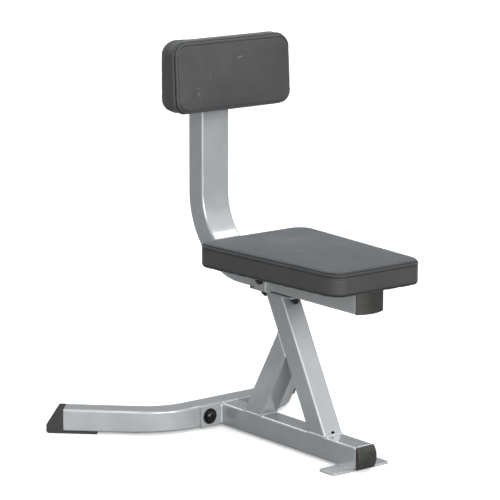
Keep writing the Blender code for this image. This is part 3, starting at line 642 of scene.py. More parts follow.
def bead(points, r, normal, pitch=3.4, lift=0.0, seed=0.0):
    """A weld bead along points: a rounded ridge with overlapping ripples, wider and narrower as it goes."""
    path, total = [], 0.0
    for a, b in zip(points, points[1:]):
        a, b = Vector(a), Vector(b)
        cuts = max(2, int((b - a).length / (pitch / 4)))
        for k in range(cuts):
            path.append(a.lerp(b, k / cuts))
    path.append(Vector(points[-1]))
    rings = []
    for k, p in enumerate(path):
        ahead = path[min(k + 1, len(path) - 1)] - path[max(k - 1, 0)]
        along = ahead.normalized()
        up = (Vector(normal) - along * along.dot(Vector(normal))).normalized()
        side = along.cross(up)
        total += (path[k] - path[k - 1]).length if k else 0.0
        phase = (total / pitch) % 1.0
        swell = 0.86 + 0.20 * (1 - phase) ** 0.6 + 0.07 * RIPPLE(total * 0.35 + seed)
        tip = min(1.0, 0.35 + min(total, sum((b - a).length for a, b in zip(path[k:], path[k + 1:]))) / (1.3 * r))
        size = r * swell * tip
        lean = 0.35 * RIPPLE(total * 0.5 + 2 + seed)
        ring = []
        for j in range(12):
            angle = 2 * math.pi * j / 12
            ring.append(p + side * (math.cos(angle) * size * 1.15 + lean * 0.4) + up * (math.sin(angle) * size * 0.85 + lift))
        rings.append(ring)
    return skin(rings)


# --- leg frame ---------------------------------------------------------------------------------

show(
    "base_tube_shell",
    tube([(Vector((0, y, BASE_ZC)), X, Z) for y in BASE_Y], TUBE, TUBE, ease=1.2),
    SILVER, "silver_paint", "base_tube",
)

front_run = Vector((0, FRONT_LEG_Y[1] - FRONT_LEG_Y[0], LEG_Z1 - LEG_Z0)).normalized()
front_face = Vector((0, -front_run.z, front_run.y))
front_foot = Vector((0, FRONT_LEG_Y[0], LEG_Z0))
front_head = Vector((0, FRONT_LEG_Y[1], LEG_Z1))
front_leg = tube(
    [(front_foot, X, front_run.cross(X)), (front_head, X, front_run.cross(X))], TUBE, TUBE,
    cut_start=(front_foot, Z), cut_end=(front_head, Z), ease=0.3,
)
drain_on_axis = front_foot + front_run * ((DRAIN_Z - LEG_Z0 - front_face.z * TUBE / 2) / front_run.z)
drain_at = drain_on_axis + front_face * TUBE / 2
front_leg = drill(front_leg, [(drain_at, front_face, DRAIN_R, 12.0)])
# The leg's inside and the drain hole's wall take the near-black inside colour, partly painted shade that makes the hole
# read dark.
for face in front_leg.faces:
    middle = face.calc_center_median()
    off = middle - front_foot
    off -= front_run * off.dot(front_run)
    inner = max(abs(off.x), abs(off.dot(front_face))) < TUBE / 2 - WALL + 0.3 and abs(face.normal.z) < 0.95
    beside = middle - drain_at
    in_hole = (beside - front_face * beside.dot(front_face)).length < DRAIN_R + 0.2 and abs(face.normal.dot(front_face)) < 0.3
    face.material_index = 1 if inner or in_hole else 0
show("front_leg_shell", front_leg, [SILVER, BARE_AND_SHADE], "silver_paint", "front_leg")

rear_run = Vector((0, REAR_LEG_SLOPE, 1)).normalized()
rear_foot = Vector((0, REAR_LEG_Y0, LEG_Z0))
behind_front_leg = front_foot - front_face * (TUBE / 2 + GAP)
rear_head = to_plane(rear_foot, rear_run, behind_front_leg, front_face)
show(
    "rear_leg_shell",
    tube(
        [(rear_foot, X, rear_run.cross(X)), (rear_head, X, rear_run.cross(X))], TUBE, TUBE,
        cut_start=(rear_foot, Z), cut_end=(behind_front_leg, front_face), ease=0.3,
    ),
    SILVER, "silver_paint", "rear_leg",
)

half = TUBE / 2
top_plate = slab(
    rounded(
        [(half, TOP_PLATE_Y[0]), (half, TOP_PLATE_Y[1]), (-half, TOP_PLATE_Y[1]), (-half, TOP_PLATE_Y[0])],
        [10.0, 3.0, 3.0, 10.0], 8,
    ),
    X, Y, TOP_PLATE_Z[0], TOP_PLATE_Z[1], ease=0.6,
)
top_plate = drill(top_plate, [(Vector((0, y, sum(TOP_PLATE_Z) / 2)), Z, 5.5, 20) for y in SEAT_BOLT_Y])
show("leg_top_plate_shell", top_plate, PLATE_SILVER, "silver_paint", "leg_top_plate")

show(
    "front_foot_plate_shell",
    slab(
        rounded(
            [
                (FOOT_PLATE_HALF, FOOT_PLATE_Y[0]), (FOOT_PLATE_HALF, FOOT_PLATE_Y[1]),
                (-FOOT_PLATE_HALF, FOOT_PLATE_Y[1]), (-FOOT_PLATE_HALF, FOOT_PLATE_Y[0]),
            ],
            8.0, 8,
        ),
        X, Y, 0.0, FOOT_PLATE_T, ease=0.9,
    ),
    SCUFFED, "silver_paint", "front_foot_plate",
)

rear_plate = slab(
    rounded(
        [
            (REAR_PLATE_HALF, BASE_Z0), (REAR_PLATE_HALF, BASE_Z1),
            (-REAR_PLATE_HALF, BASE_Z1), (-REAR_PLATE_HALF, BASE_Z0),
        ],
        3.0, 6,
    ),
    X, Z, -REAR_PLATE_Y[1], -REAR_PLATE_Y[0], ease=1.3,
)
rear_plate = drill(
    rear_plate, [(Vector((x, sum(REAR_PLATE_Y) / 2, STAB_BOLT_Z)), Y, 5.5, 20) for x in (-STAB_BOLT_X, STAB_BOLT_X)]
)
show("rear_mount_plate_shell", rear_plate, SILVER, "silver_paint", "rear_mount_plate")

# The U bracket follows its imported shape, with its edges eased.
bracket = bmesh.new()
bracket.from_mesh(nodes["saddle_bracket"].data)
bracket.transform(nodes["saddle_bracket"].matrix_world)
for v in bracket.verts:
    v.co = Vector((v.co.x / MM, v.co.y / MM + OFFSET_Y, v.co.z / MM))
bmesh.ops.dissolve_limit(bracket, angle_limit=math.radians(1), verts=bracket.verts[:], edges=bracket.edges[:])
ease_edges(bracket, 0.6, 2)
show("saddle_bracket_shell", bracket, BRACKET_SILVER, "silver_paint", "saddle_bracket")

# --- stabiliser --------------------------------------------------------------------------------

BEND_STEPS = 20


def stabilizer_side(sign):
    stations = []
    centre = Vector((sign * STAB_HALF_STRAIGHT, STAB_Y + STAB_BEND_R, BASE_ZC))
    for k in range(BEND_STEPS + 1):
        angle = STAB_BEND * k / BEND_STEPS
        out = Vector((sign * math.sin(angle), -math.cos(angle), 0))
        along = Vector((sign * math.cos(angle), math.sin(angle), 0))
        stations.append((centre + out * STAB_BEND_R, out, along))
    end, out, along = stations[-1]
    stations.append((end + along * STAB_ARM, out, along))
    return stations


def stabilizer_squash(k, q):
    """In a bend the outer wall draws in and loses height."""
    count = BEND_STEPS + 2
    at = count - 1 - k if k < count else k - count
    depth = math.sin(math.pi * min(at, BEND_STEPS) / BEND_STEPS) if at <= BEND_STEPS else 0.0
    # q.x runs inwards across the tube, so the outer wall is at -q.x
    outer = max(0.0, min(1.0, 0.5 - q.x / TUBE))
    flat = 1 - (2 * q.y / TUBE) ** 2
    return Vector((q.x + depth * outer * (0.5 + 1.1 * max(0.0, flat)), q.y * (1 - depth * outer * 0.055)))


right = [(c, -out, Z) for c, out, along in reversed(stabilizer_side(-1))]
left = [(c, -out, Z) for c, out, along in stabilizer_side(1)]
stabilizer = tube(right + left, TUBE, TUBE, shape=stabilizer_squash)
stabilizer = drill(
    stabilizer, [(Vector((x, STAB_Y, STAB_BOLT_Z)), Y, 5.5, 90) for x in (-STAB_BOLT_X, STAB_BOLT_X)]
)
show("rear_stabilizer_shell", stabilizer, SILVER, "silver_paint", "rear_stabilizer")


def wedge_foot(name, sign):
    end, out, along = stabilizer_side(sign)[-1]
    base = Vector((end.x, end.y, 0))
    side = along.cross(Z)
    outline = rounded(
        [
            (GAP, BASE_Z1), (GAP, FOOT_PLATE_T), (-FOOT_TONGUE, FOOT_PLATE_T), (-FOOT_TONGUE, 0.0),
            (FOOT_REACH, 0.0), (FOOT_REACH, FOOT_SHOULDER_Z), (FOOT_TOP_REACH, BASE_Z1),
        ],
        [0, 0, 0, 0, 6.0, 6.0, 2.5], 8,
    )
    bm = bmesh.new()
    face = bm.faces.new([bm.verts.new(base + along * t + Z * z - side * TUBE / 2) for t, z in outline])
    grown = bmesh.ops.extrude_face_region(bm, geom=[face])["geom"]
    moved = [v for v in grown if isinstance(v, bmesh.types.BMVert)]
    bmesh.ops.translate(bm, vec=side * TUBE, verts=moved)
    ease_edges(bm, 1.5, 4)
    show(name + "_shell", bm, RUBBER, "black_rubber", name)


wedge_foot("stabilizer_foot_right", -1)
wedge_foot("stabilizer_foot_left", 1)

# --- seat beam and upright ---------------------------------------------------------------------


def beam_stations(steps=40):
    stations = [(Vector((0, BEAM_Y0, BEAM_ZC)), X, Z)]
    for k in range(steps + 1):
        angle = math.pi / 2 * k / steps
        inwards = Vector((0, -math.sin(angle), math.cos(angle)))
        stations.append((Vector((0, BEND_Y, BEAM_ZC + BEND_R)) - inwards * BEND_R, X, inwards))
    stations.append((Vector((0, BEND_Y + BEND_R, UPRIGHT_TOP)), X, -Y))
    return stations


beam = drill(
    tube(beam_stations(), BEAM_W, BEAM_H, ease=1.2),
    [(Vector((0, y, BEAM_ZC)), Z, 5.5, 80) for y in SEAT_BOLT_Y]
    + [(Vector((0, CROSS_BOLT_Y, BEAM_ZC)), X, 5.5, 110)]
    + [(Vector((0, SEAT_SCREW_Y, BEAM_ZC)), Z, 4.5, 80)]
    + [(Vector((0, BEND_Y + BEND_R, z)), Y, 4.5, 80) for z in BACK_SCREW_Z],
)
show("seat_back_frame_shell", beam, BEAM_SILVER, "silver_paint", "seat_back_frame")


def arc(half_chord, rise, steps):
    r = (half_chord**2 + rise**2) / (2 * rise)
    reach = math.asin(half_chord / r)
    return [
        (r * math.sin(reach * (2 * k / steps - 1)), r * math.cos(reach * (2 * k / steps - 1)) - r + rise)
        for k in range(steps + 1)
    ]


cap_back = BASE_Y[0] - GAP
dome = [(cap_back - 3.0 - up, BASE_ZC + v) for v, up in arc(TUBE / 2, 10.0, 28)]
show(
    "base_end_cap_shell",
    slab([(cap_back, BASE_Z0), *dome, (cap_back, BASE_Z1)], Y, Z, -TUBE / 2 + 0.5, TUBE / 2 - 0.5, ease=2.8, steps=5),
    PLASTIC, "black_plastic", "base_end_cap", sharp=30,
)
cap_back = BEAM_Y0 - GAP
dome = [(u, cap_back - 2.7 - up) for u, up in arc(BEAM_W / 2, 11.2, 36)]
show(
    "seat_frame_end_cap_shell",
    slab(
        [(-BEAM_W / 2, cap_back), *dome, (BEAM_W / 2, cap_back)], X, Y,
        BEAM_ZC - BEAM_H / 2, BEAM_ZC + BEAM_H / 2, ease=2.0, steps=4,
    ),
    PLASTIC, "black_plastic", "seat_frame_end_cap", sharp=30,
)
upright_y = BEND_Y + BEND_R
show(
    "upright_top_cap_shell",
    skin(
        [
            [Vector((p.x, upright_y + p.y, z)) for p in box_outline(BEAM_W - 2 * inset, BEAM_H - 2 * inset, max(CORNER - inset, 1.5), 8)]
            for inset, z in (
                (0.5, UPRIGHT_TOP + GAP), (0.0, UPRIGHT_TOP + GAP + 0.5), (0.0, UPRIGHT_TOP + 1.6), (0.4, UPRIGHT_TOP + 2.4),
                (1.1, UPRIGHT_TOP + 3.0), (2.4, UPRIGHT_TOP + 3.35), (4.5, UPRIGHT_TOP + 3.4),
            )
        ]
    ),
    PLASTIC, "black_plastic", "upright_top_cap",
)

# --- welds -------------------------------------------------------------------------------------


def weld(name, *beads):
    show(name, merge(*beads), WELD, "silver_paint", sharp=0, flat_faces=False)


leg_half_depth = TUBE / 2 / front_run.z
rear_half_depth = TUBE / 2 / rear_run.z
w = TUBE / 2 - 2.5
weld(
    "weld_front_leg_foot",
    bead([(-w, front_foot.y - leg_half_depth - 0.6, BASE_Z1 + 0.4), (w, front_foot.y - leg_half_depth - 0.6, BASE_Z1 + 0.4)], 3.4, (0, -0.7, 0.7)),
    bead([(w, front_foot.y + leg_half_depth + 0.6, BASE_Z1 + 0.4), (-w, front_foot.y + leg_half_depth + 0.6, BASE_Z1 + 0.4)], 2.8, (0, 0.7, 0.7), seed=5),
)
weld(
    "weld_rear_leg_foot",
    bead([(-w, rear_foot.y - rear_half_depth - 0.6, BASE_Z1 + 0.4), (w, rear_foot.y - rear_half_depth - 0.6, BASE_Z1 + 0.4)], 1.3, (0, -0.7, 0.7), seed=9),
    bead([(w, rear_foot.y + rear_half_depth + 0.6, BASE_Z1 + 0.4), (-w, rear_foot.y + rear_half_depth + 0.6, BASE_Z1 + 0.4)], 3.0, (0, 0.7, 0.7), seed=12),
)
inset, low = half - 0.9, BASE_Z1 - 0.8
for name, start, end, seed in (
    ("weld_front_leg_sides", front_foot.y - leg_half_depth + 1, front_foot.y + leg_half_depth - 1, 21),
    ("weld_rear_leg_sides", rear_foot.y - rear_half_depth + 1, rear_foot.y + rear_half_depth - 1, 24),
):
    weld(
        name,
        bead([(-inset, end, low), (-inset, start, low)], 2.5, (-0.8, 0, 0.5), seed=seed),
        bead([(inset, start, low), (inset, end, low)], 2.5, (0.8, 0, 0.5), seed=seed + 1),
    )
weld(
    "weld_leg_head",
    bead([(-w, front_head.y - leg_half_depth - 0.4, LEG_Z1 - 0.6), (w, front_head.y - leg_half_depth - 0.4, LEG_Z1 - 0.6)], 3.0, (0, -0.7, -0.7), seed=3),
    bead([(w, front_head.y + leg_half_depth + 0.4, LEG_Z1 - 0.6), (-w, front_head.y + leg_half_depth + 0.4, LEG_Z1 - 0.6)], 3.0, (0, 0.7, -0.7), seed=7),
)
crotch = to_plane(rear_foot - Y * rear_half_depth, rear_run, behind_front_leg, front_face)
ridge = to_plane(rear_foot + Y * rear_half_depth, rear_run, behind_front_leg, front_face)
joint = half - 1.6
weld(
    "weld_leg_joint",
    bead([(-w, crotch.y, crotch.z), (w, crotch.y, crotch.z)], 2.6, (0, 0.2, -1), seed=2),
    bead([(w, ridge.y, ridge.z), (-w, ridge.y, ridge.z)], 2.8, (0, 1, 0.5), seed=4),
    bead([(-joint, ridge.y, ridge.z), (-joint, crotch.y, crotch.z)], 2.2, (-1, 0, 0), pitch=4.6, seed=15),
    bead([(joint, crotch.y, crotch.z), (joint, ridge.y, ridge.z)], 2.2, (1, 0, 0), pitch=4.6, seed=16),
)
weld(
    "weld_rear_plate",
    bead([(-w, BASE_Y[1] - 0.4, BASE_Z1 - 0.3), (w, BASE_Y[1] - 0.4, BASE_Z1 - 0.3)], 1.9, (0, -0.7, 0.7), seed=1),
    bead([(-half - 0.4, BASE_Y[1] - 0.6, BASE_Z0 + 3), (-half - 0.4, BASE_Y[1] - 0.6, BASE_Z1 - 3)], 2.4, (-0.7, -0.7, 0), seed=6),
    bead([(half + 0.4, BASE_Y[1] - 0.6, BASE_Z1 - 3), (half + 0.4, BASE_Y[1] - 0.6, BASE_Z0 + 3)], 2.4, (0.7, -0.7, 0), seed=8),
)
weld(
    "weld_foot_plate",
    bead([(half - 2.0, FOOT_PLATE_Y[0] + 2, FOOT_PLATE_T + 1.6), (half - 2.0, FOOT_PLATE_Y[1] - 2, FOOT_PLATE_T + 1.6)], 1.8, (0.7, 0, 0.7), seed=10),
    bead([(-half + 2.0, FOOT_PLATE_Y[1] - 2, FOOT_PLATE_T + 1.6), (-half + 2.0, FOOT_PLATE_Y[0] + 2, FOOT_PLATE_T + 1.6)], 1.8, (-0.7, 0, 0.7), seed=11),
)
weld(
    "weld_saddle",
    bead([(-20, SADDLE_Y[0] - 0.4, TOP_PLATE_Z[1] + 0.3), (20, SADDLE_Y[0] - 0.4, TOP_PLATE_Z[1] + 0.3)], 1.9, (0, -0.7, 0.7), seed=13),
    bead([(20, SADDLE_Y[1] + 0.4, TOP_PLATE_Z[1] + 0.3), (-20, SADDLE_Y[1] + 0.4, TOP_PLATE_Z[1] + 0.3)], 1.9, (0, 0.7, 0.7), seed=14),
)

# --- fasteners ---------------------------------------------------------------------------------


def level(outline, z):
    return [Vector((p.x, p.y, z)) for p in outline]


def thread(r, start, end, pitch, depth=0.55, count=32):
    """Rings of a helical thread between two heights, which join shank rings of the same count."""
    rings = []
    steps = max(8, int((end - start) / pitch * 8))
    for k in range(steps + 1):
        z = start + (end - start) * k / steps
        fade = min(1.0, (z - start) / pitch, (end - z) / pitch)
        ring = []
        for j in range(count):
            angle = 2 * math.pi * j / count
            phase = (z / pitch - j / count) % 1.0
            cut = depth * abs(2 * phase - 1) * max(0.0, fade)
            ring.append(Vector(((r - cut) * math.cos(angle), (r - cut) * math.sin(angle), z)))
        rings.append(ring)
    return rings


def button_bolt(shank_r, length, head_r, head_h, socket, threaded, pitch=1.5):
    n = 32
    rings = [level(circle(shank_r - 1.0, n), -length), level(circle(shank_r - 0.5, n), -length + 0.5)]
    rings += thread(shank_r, -length + 0.8, -length + threaded, pitch, count=n)
    rings += [level(circle(shank_r, n), -length + threaded + 0.4), level(circle(shank_r, n), 0.0)]
    shank = skin(rings)
    top = math.radians(62)
    rings = [level(circle(shank_r * 0.5), 0.0), level(circle(head_r - 0.3), 0.0), level(circle(head_r), 0.25)]
    rings.append(level(circle(head_r), 0.16 * head_h))
    for k in range(1, 8):
        angle = top * k / 8
        rise = math.sin(angle) / math.sin(top)
        rings.append(level(circle(head_r * math.cos(angle)), head_h * (0.16 + 0.84 * rise)))
    rim = head_r * math.cos(top)
    rings += [level(circle(max(rim, socket * 0.62 + 0.3)), head_h * 0.995), level(circle(socket * 0.60), head_h * 0.97)]
    rings += [level(hexagon(socket), head_h * 0.86), level(hexagon(socket), head_h * 0.36), level(hexagon(socket * 0.3), head_h * 0.28)]
    return merge(shank, skin(rings))


def flat_bolt(shank_r, length, head_r, head_h, threaded, pitch=1.5):
    n = 32
    rings = [level(circle(shank_r - 1.0, n), -length), level(circle(shank_r - 0.5, n), -length + 0.5)]
    rings += thread(shank_r, -length + 0.8, -length + threaded, pitch, count=n)
    rings += [level(circle(shank_r, n), -length + threaded + 0.4), level(circle(shank_r, n), 0.0)]
    head = [level(circle(shank_r * 0.5), 0.0), level(circle(head_r), 0.0), level(circle(head_r), head_h * 0.5), level(circle(head_r - 0.8), head_h)]
    return merge(skin(rings), skin(head))


def washer(outer_r, bore_r, thickness):
    e = 0.35
    rings = [
        level(circle(bore_r), e), level(circle(bore_r + e), 0.0), level(circle(outer_r - e), 0.0), level(circle(outer_r), e),
        level(circle(outer_r), thickness - e), level(circle(outer_r - e), thickness), level(circle(bore_r + e), thickness),
        level(circle(bore_r), thickness - e),
    ]
    return skin(rings, ring_closed=True)


def lock_nut(across_flats, height, bore_r):
    """A hexagon nut with chamfered corners and a round collar over its locking ring."""
    flat_r = across_flats / 2
    corner = flat_r / math.cos(math.pi / 6)
    rings = [
        level(circle(bore_r), 0.6), level(circle(bore_r + 0.6), 0.0), level(circle(flat_r * 0.98), 0.0),
        level(hexagon(across_flats, corner * 0.985), 0.8), level(hexagon(across_flats), 1.4),
        level(hexagon(across_flats), 0.58 * height), level(hexagon(across_flats, corner * 0.97), 0.64 * height),
        level(circle(flat_r - 0.2), 0.72 * height), level(circle(flat_r - 0.9), 0.84 * height),
        level(circle(flat_r * 0.78), 0.955 * height), level(circle(flat_r * 0.72), height), level(circle(bore_r + 0.9), height),
        level(circle(bore_r + 0.9), 0.8 * height), level(circle(bore_r), 0.8 * height),
    ]
    ring = [
        level(circle(bore_r + 0.05), 0.80 * height), level(circle(bore_r + 0.85), 0.80 * height),
        level(circle(bore_r + 0.85), 0.97 * height), level(circle(bore_r + 0.05), 0.97 * height),
    ]
    return merge((skin(rings, ring_closed=True), 0), (skin(ring, ring_closed=True), 1))


def fastener(name, bm, at, axis, mats=None, slot="black_steel"):
    show(name + "_shell", placed(bm, at, axis), mats or STEEL, slot, name, sharp=32)


WIDE_T, THIN_T, NUT_AF, NUT_H = 2.0, 1.6, 17.0, 11.4
plate_front = REAR_PLATE_Y[0]
stab_rear = STAB_Y + TUBE / 2
for side, sign in (("left", 1), ("right", -1)):
    x = sign * STAB_BOLT_X
    head_at = plate_front - 2 * GAP - WIDE_T
    fastener("stabilizer_bolt_" + side, button_bolt(4.75, 76.5, 12.0, 6.8, 6.2, 26), (x, head_at, STAB_BOLT_Z), -Y)
    fastener("stabilizer_washer_front_" + side, washer(18.0, 5.3, WIDE_T), (x, plate_front - GAP, STAB_BOLT_Z), -Y)
    fastener("stabilizer_washer_rear_" + side, washer(18.0, 5.3, WIDE_T), (x, stab_rear + GAP, STAB_BOLT_Z), Y)
    fastener(
        "stabilizer_nut_" + side, lock_nut(NUT_AF, NUT_H, 5.1), (x, stab_rear + 2 * GAP + WIDE_T, STAB_BOLT_Z), Y, [STEEL, NYLON]
    )

reach = BEAM_W / 2 + GAP + SADDLE_T + GAP
fastener("saddle_washer_right", washer(15.0, 5.3, WIDE_T), (-reach, CROSS_BOLT_Y, BEAM_ZC), -X)
fastener("saddle_washer_left", washer(15.0, 5.3, WIDE_T), (reach, CROSS_BOLT_Y, BEAM_ZC), X)
fastener("saddle_cross_bolt", button_bolt(4.75, 102.0, 11.0, 6.2, 6.2, 26), (-reach - WIDE_T - GAP, CROSS_BOLT_Y, BEAM_ZC), -X)
fastener("saddle_nut", lock_nut(NUT_AF, NUT_H, 5.1), (reach + WIDE_T + GAP, CROSS_BOLT_Y, BEAM_ZC), X, [STEEL, NYLON])

seat_board_top = SEAT_Z0 + 1.5 + BOARD_T
head_under = seat_board_top - 2.9
plate_under = TOP_PLATE_Z[0]
for where, y in zip(("front", "rear"), SEAT_BOLT_Y):
    fastener("seat_bolt_" + where, flat_bolt(4.75, head_under - (TOP_PLATE_Z[0] - 15.9), 13.0, 2.6, 30), (0, y, head_under), Z)
    fastener("seat_washer_" + where, washer(10.3, 5.3, THIN_T), (0, y, plate_under - GAP), -Z)
    fastener("seat_nut_" + where, lock_nut(NUT_AF, NUT_H, 5.1), (0, y, plate_under - 2 * GAP - THIN_T), -Z, [STEEL, NYLON])

beam_under = BEAM_ZC - BEAM_H / 2
under_head = beam_under - 2 * GAP - THIN_T
fastener("seat_screw", button_bolt(3.8, seat_board_top - 2.6 - under_head, 7.0, 4.4, 5.0, 24, 1.25), (0, SEAT_SCREW_Y, under_head), -Z)
fastener("seat_screw_washer", washer(9.0, 4.3, THIN_T), (0, SEAT_SCREW_Y, beam_under - GAP), -Z)
upright_rear = BEND_Y + BEND_R + BEAM_H / 2
behind = upright_rear + 2 * GAP + THIN_T
back_board_front = BACK_Y0 - 1.5 - BOARD_T
for where, z in zip(("lower", "upper"), BACK_SCREW_Z):
    fastener("back_screw_" + where, button_bolt(3.8, behind - (back_board_front + 2.6), 7.0, 4.4, 5.0, 24, 1.25), (0, behind, z), Y)
    fastener("back_screw_washer_" + where, washer(9.0, 4.3, THIN_T), (0, upright_rear + GAP, z), Y)

for name in ("seat_tee_nut", "back_tee_nut_lower", "back_tee_nut_upper"):
    nodes[name].data.materials.clear()
    nodes[name].data.materials.append(ZINC)
for name in ("seat_board", "back_board"):
    nodes[name].data.materials.clear()
    nodes[name].data.materials.append(PLY)

# --- pads --------------------------------------------------------------------------------------
# A pad is made lying flat: x across, y along, z its height over the underside, all in millimetres.


class Pad:
    def __init__(self, half, low, high, r, side, crown, spacing, taper=1.0):
        self.half, self.low, self.high, self.r = half, low, high, r
        self.side, self.crown, self.spacing, self.taper = side, crown, spacing, taper

    def narrow(self, y):
        """The width at y against the width at the far end."""
        return 1 - (self.high - y) / (self.high - self.low) * (1 - self.taper)

    def ring(self, inset, height, along=None):
        corners = [
            (self.half - inset, self.low + inset), (self.half - inset, self.high - inset),
            (-self.half + inset, self.high - inset), (-self.half + inset, self.low + inset),
        ]
        # straight runs are cut the same on every ring
        cuts_y = round((self.high - self.low) / self.spacing)
        cuts_x = round(2 * self.half / self.spacing)
        base = rounded(corners, max(self.r - 0.7 * inset, 6.0), CORNER_STEPS)
        per = CORNER_STEPS + 1
        points = []
        for c in range(4):
            arc_points = base[c * per:(c + 1) * per]
            after = base[(c + 1) % 4 * per]
            cuts = cuts_y if c % 2 == 0 else cuts_x
            points += arc_points + [arc_points[-1].lerp(after, k / cuts) for k in range(1, cuts)]
        return [Vector((p.x * self.narrow(p.y), p.y, height)) for p in points], cuts_x, cuts_y

    def grid(self, inset, height_of):
        """Fills a ring with a grid, as rows of points, whose edge is the ring itself."""
        ring, cuts_x, cuts_y = self.ring(inset, 0.0)
        count = len(ring)
        mid = CORNER_STEPS // 2
        per = CORNER_STEPS + 1
        starts = [mid, per + cuts_y - 1 + mid, 2 * per + cuts_y + cuts_x - 2 + mid, 3 * per + 2 * cuts_y + cuts_x - 3 + mid]
        right = [(starts[0] + k) % count for k in range(starts[1] - starts[0] + 1)]
        top = [(starts[1] + k) % count for k in range(starts[2] - starts[1] + 1)]
        left = [(starts[2] + k) % count for k in range(starts[3] - starts[2] + 1)][::-1]
        bottom = [(starts[3] + k) % count for k in range(count - starts[3] + starts[0] + 1)]
        top = top[::-1]
        nu, nv = len(bottom) - 1, len(right) - 1
        rows = []
        for j in range(nv + 1):
            row = []
            for i in range(nu + 1):
                s, t = i / nu, j / nv
                if j == 0:
                    row.append(bottom[i])
                elif j == nv:
                    row.append(top[i])
                elif i == 0:
                    row.append(left[j])
                elif i == nu:
                    row.append(right[j])
                else:
                    p = (
                        ring[left[j]] * (1 - s) + ring[right[j]] * s + ring[bottom[i]] * (1 - t) + ring[top[i]] * t
                        - ring[bottom[0]] * (1 - s) * (1 - t) - ring[bottom[-1]] * s * (1 - t)
                        - ring[top[0]] * (1 - s) * t - ring[top[-1]] * s * t
                    )
                    row.append(Vector((p.x, p.y, height_of(p.x, p.y))))
            rows.append(row)
        return rows


CORNER_STEPS = 12


def smooth_between(points, per_span):
    """A Catmull-Rom curve through (inset, height) points, for a section with no kinks."""
    out = []
    pts = [np.array(p, float) for p in points]
    for i in range(len(pts) - 1):
        p0 = pts[max(i - 1, 0)]
        p1, p2 = pts[i], pts[i + 1]
        p3 = pts[min(i + 2, len(pts) - 1)]
        steps = max(1, round(np.linalg.norm(p2 - p1) / per_span))
        for k in range(steps):
            t = k / steps
            out.append(
                0.5 * ((2 * p1) + (-p0 + p2) * t + (2 * p0 - 5 * p1 + 4 * p2 - p3) * t * t + (-p0 + 3 * p1 - 3 * p2 + p3) * t**3)
            )
    out.append(pts[-1])
    return [tuple(p) for p in out]


def top_height(pad, edge_inset, edge_height, rise, power=3.2):
    def height(x, y):
        half = (pad.half - edge_inset) * pad.narrow(y)
        u = min(1.0, abs(x) / half)
        v = min(1.0, abs(y - (pad.low + pad.high) / 2) / ((pad.high - pad.low) / 2 - edge_inset))
        return edge_height + rise * (1 - u**power) * (1 - v**power)

    return height


def pad_mesh(pad, profile, rise, pocket=None):
    """Rings up the profile, closed by a grid on top and by a pocket, or a flat face, below."""
    bm = bmesh.new()
    rings = [pad.ring(i, h)[0] for i, h in (pocket or []) + profile]
    made = [[bm.verts.new(p) for p in ring] for ring in rings]
    bm.faces.new(made[0])
    for a, b in zip(made, made[1:]):
        for i in range(len(a)):
            j = (i + 1) % len(a)
            bm.faces.new((a[i], a[j], b[j], b[i]))
    inset, height = profile[-1]
    rows = pad.grid(inset, top_height(pad, inset, height, rise))
    edge = made[-1]
    verts = [[edge[p] if isinstance(p, int) else bm.verts.new(p) for p in row] for row in rows]
    for r0, r1 in zip(verts, verts[1:]):
        for i in range(len(r0) - 1):
            bm.faces.new((r0[i], r0[i + 1], r1[i + 1], r1[i]))
    bmesh.ops.recalc_face_normals(bm, faces=bm.faces[:])
    return bm


def inflate(pad, profile, rise, shrink, seam_height, voxel, cap, frames=20, pressure=4.0):
    """Blows up a slightly smaller copy of the pad as cloth that is held at its underside and along
    its seam, and returns where its points started and how far each has moved, in millimetres."""
    smaller = [(i + shrink, h * (1 - shrink / profile[-1][1]) if h > 10 else h) for i, h in profile]
    bm = pad_mesh(pad, smaller, rise * 0.6)
    for v in bm.verts:
        v.co *= MM
    mesh = bpy.data.meshes.new("sim")
    bm.to_mesh(mesh)
    bm.free()
    obj = bpy.data.objects.new("sim", mesh)
    bpy.context.scene.collection.objects.link(obj)
    mod = obj.modifiers.new("remesh", "REMESH")
    mod.mode, mod.voxel_size, mod.adaptivity = "VOXEL", voxel * MM, 0.0
    bpy.context.view_layer.update()
    made = bpy.data.meshes.new_from_object(obj.evaluated_get(bpy.context.evaluated_depsgraph_get()))
    obj.modifiers.clear()
    obj.data = made
    group = obj.vertex_groups.new(name="pin")
    start = np.empty(len(made.vertices) * 3)
    made.vertices.foreach_get("co", start)
    start = start.reshape(-1, 3)
    for i, co in enumerate(start):
        h = co[2] / MM
        band = max(0.0, 1 - abs(h - seam_height) / (voxel * 0.9))
        hold = 1.0 if h < 5 else 0.75 * band
        if hold > 0.02:
            group.add([i], hold, "REPLACE")
    cloth = obj.modifiers.new("cloth", "CLOTH")
    s = cloth.settings
    s.quality = 4
    s.mass = 0.35
    s.tension_stiffness = s.compression_stiffness = 16
    s.shear_stiffness = 8
    s.bending_stiffness = 1.5
    s.use_pressure = True
    s.uniform_pressure_force = pressure
    s.effector_weights.gravity = 0.0
    s.vertex_group_mass = "pin"
    s.pin_stiffness = 1.0
    cloth.point_cache.frame_start, cloth.point_cache.frame_end = 1, frames
    scene = bpy.context.scene
    for f in range(1, frames + 1):
        scene.frame_set(f)
    dg = bpy.context.evaluated_depsgraph_get()
    result = obj.evaluated_get(dg).to_mesh()
    end = np.empty(len(result.vertices) * 3)
    result.vertices.foreach_get("co", end)
    end = end.reshape(-1, 3)
    obj.evaluated_get(dg).to_mesh_clear()
    scene.frame_set(1)
    bpy.data.objects.remove(obj, do_unlink=True)
    moved = (end - start) / MM
    length = np.linalg.norm(moved, axis=1, keepdims=True)
    moved *= np.minimum(1.0, cap / np.maximum(length, 1e-6))
    return start / MM, moved


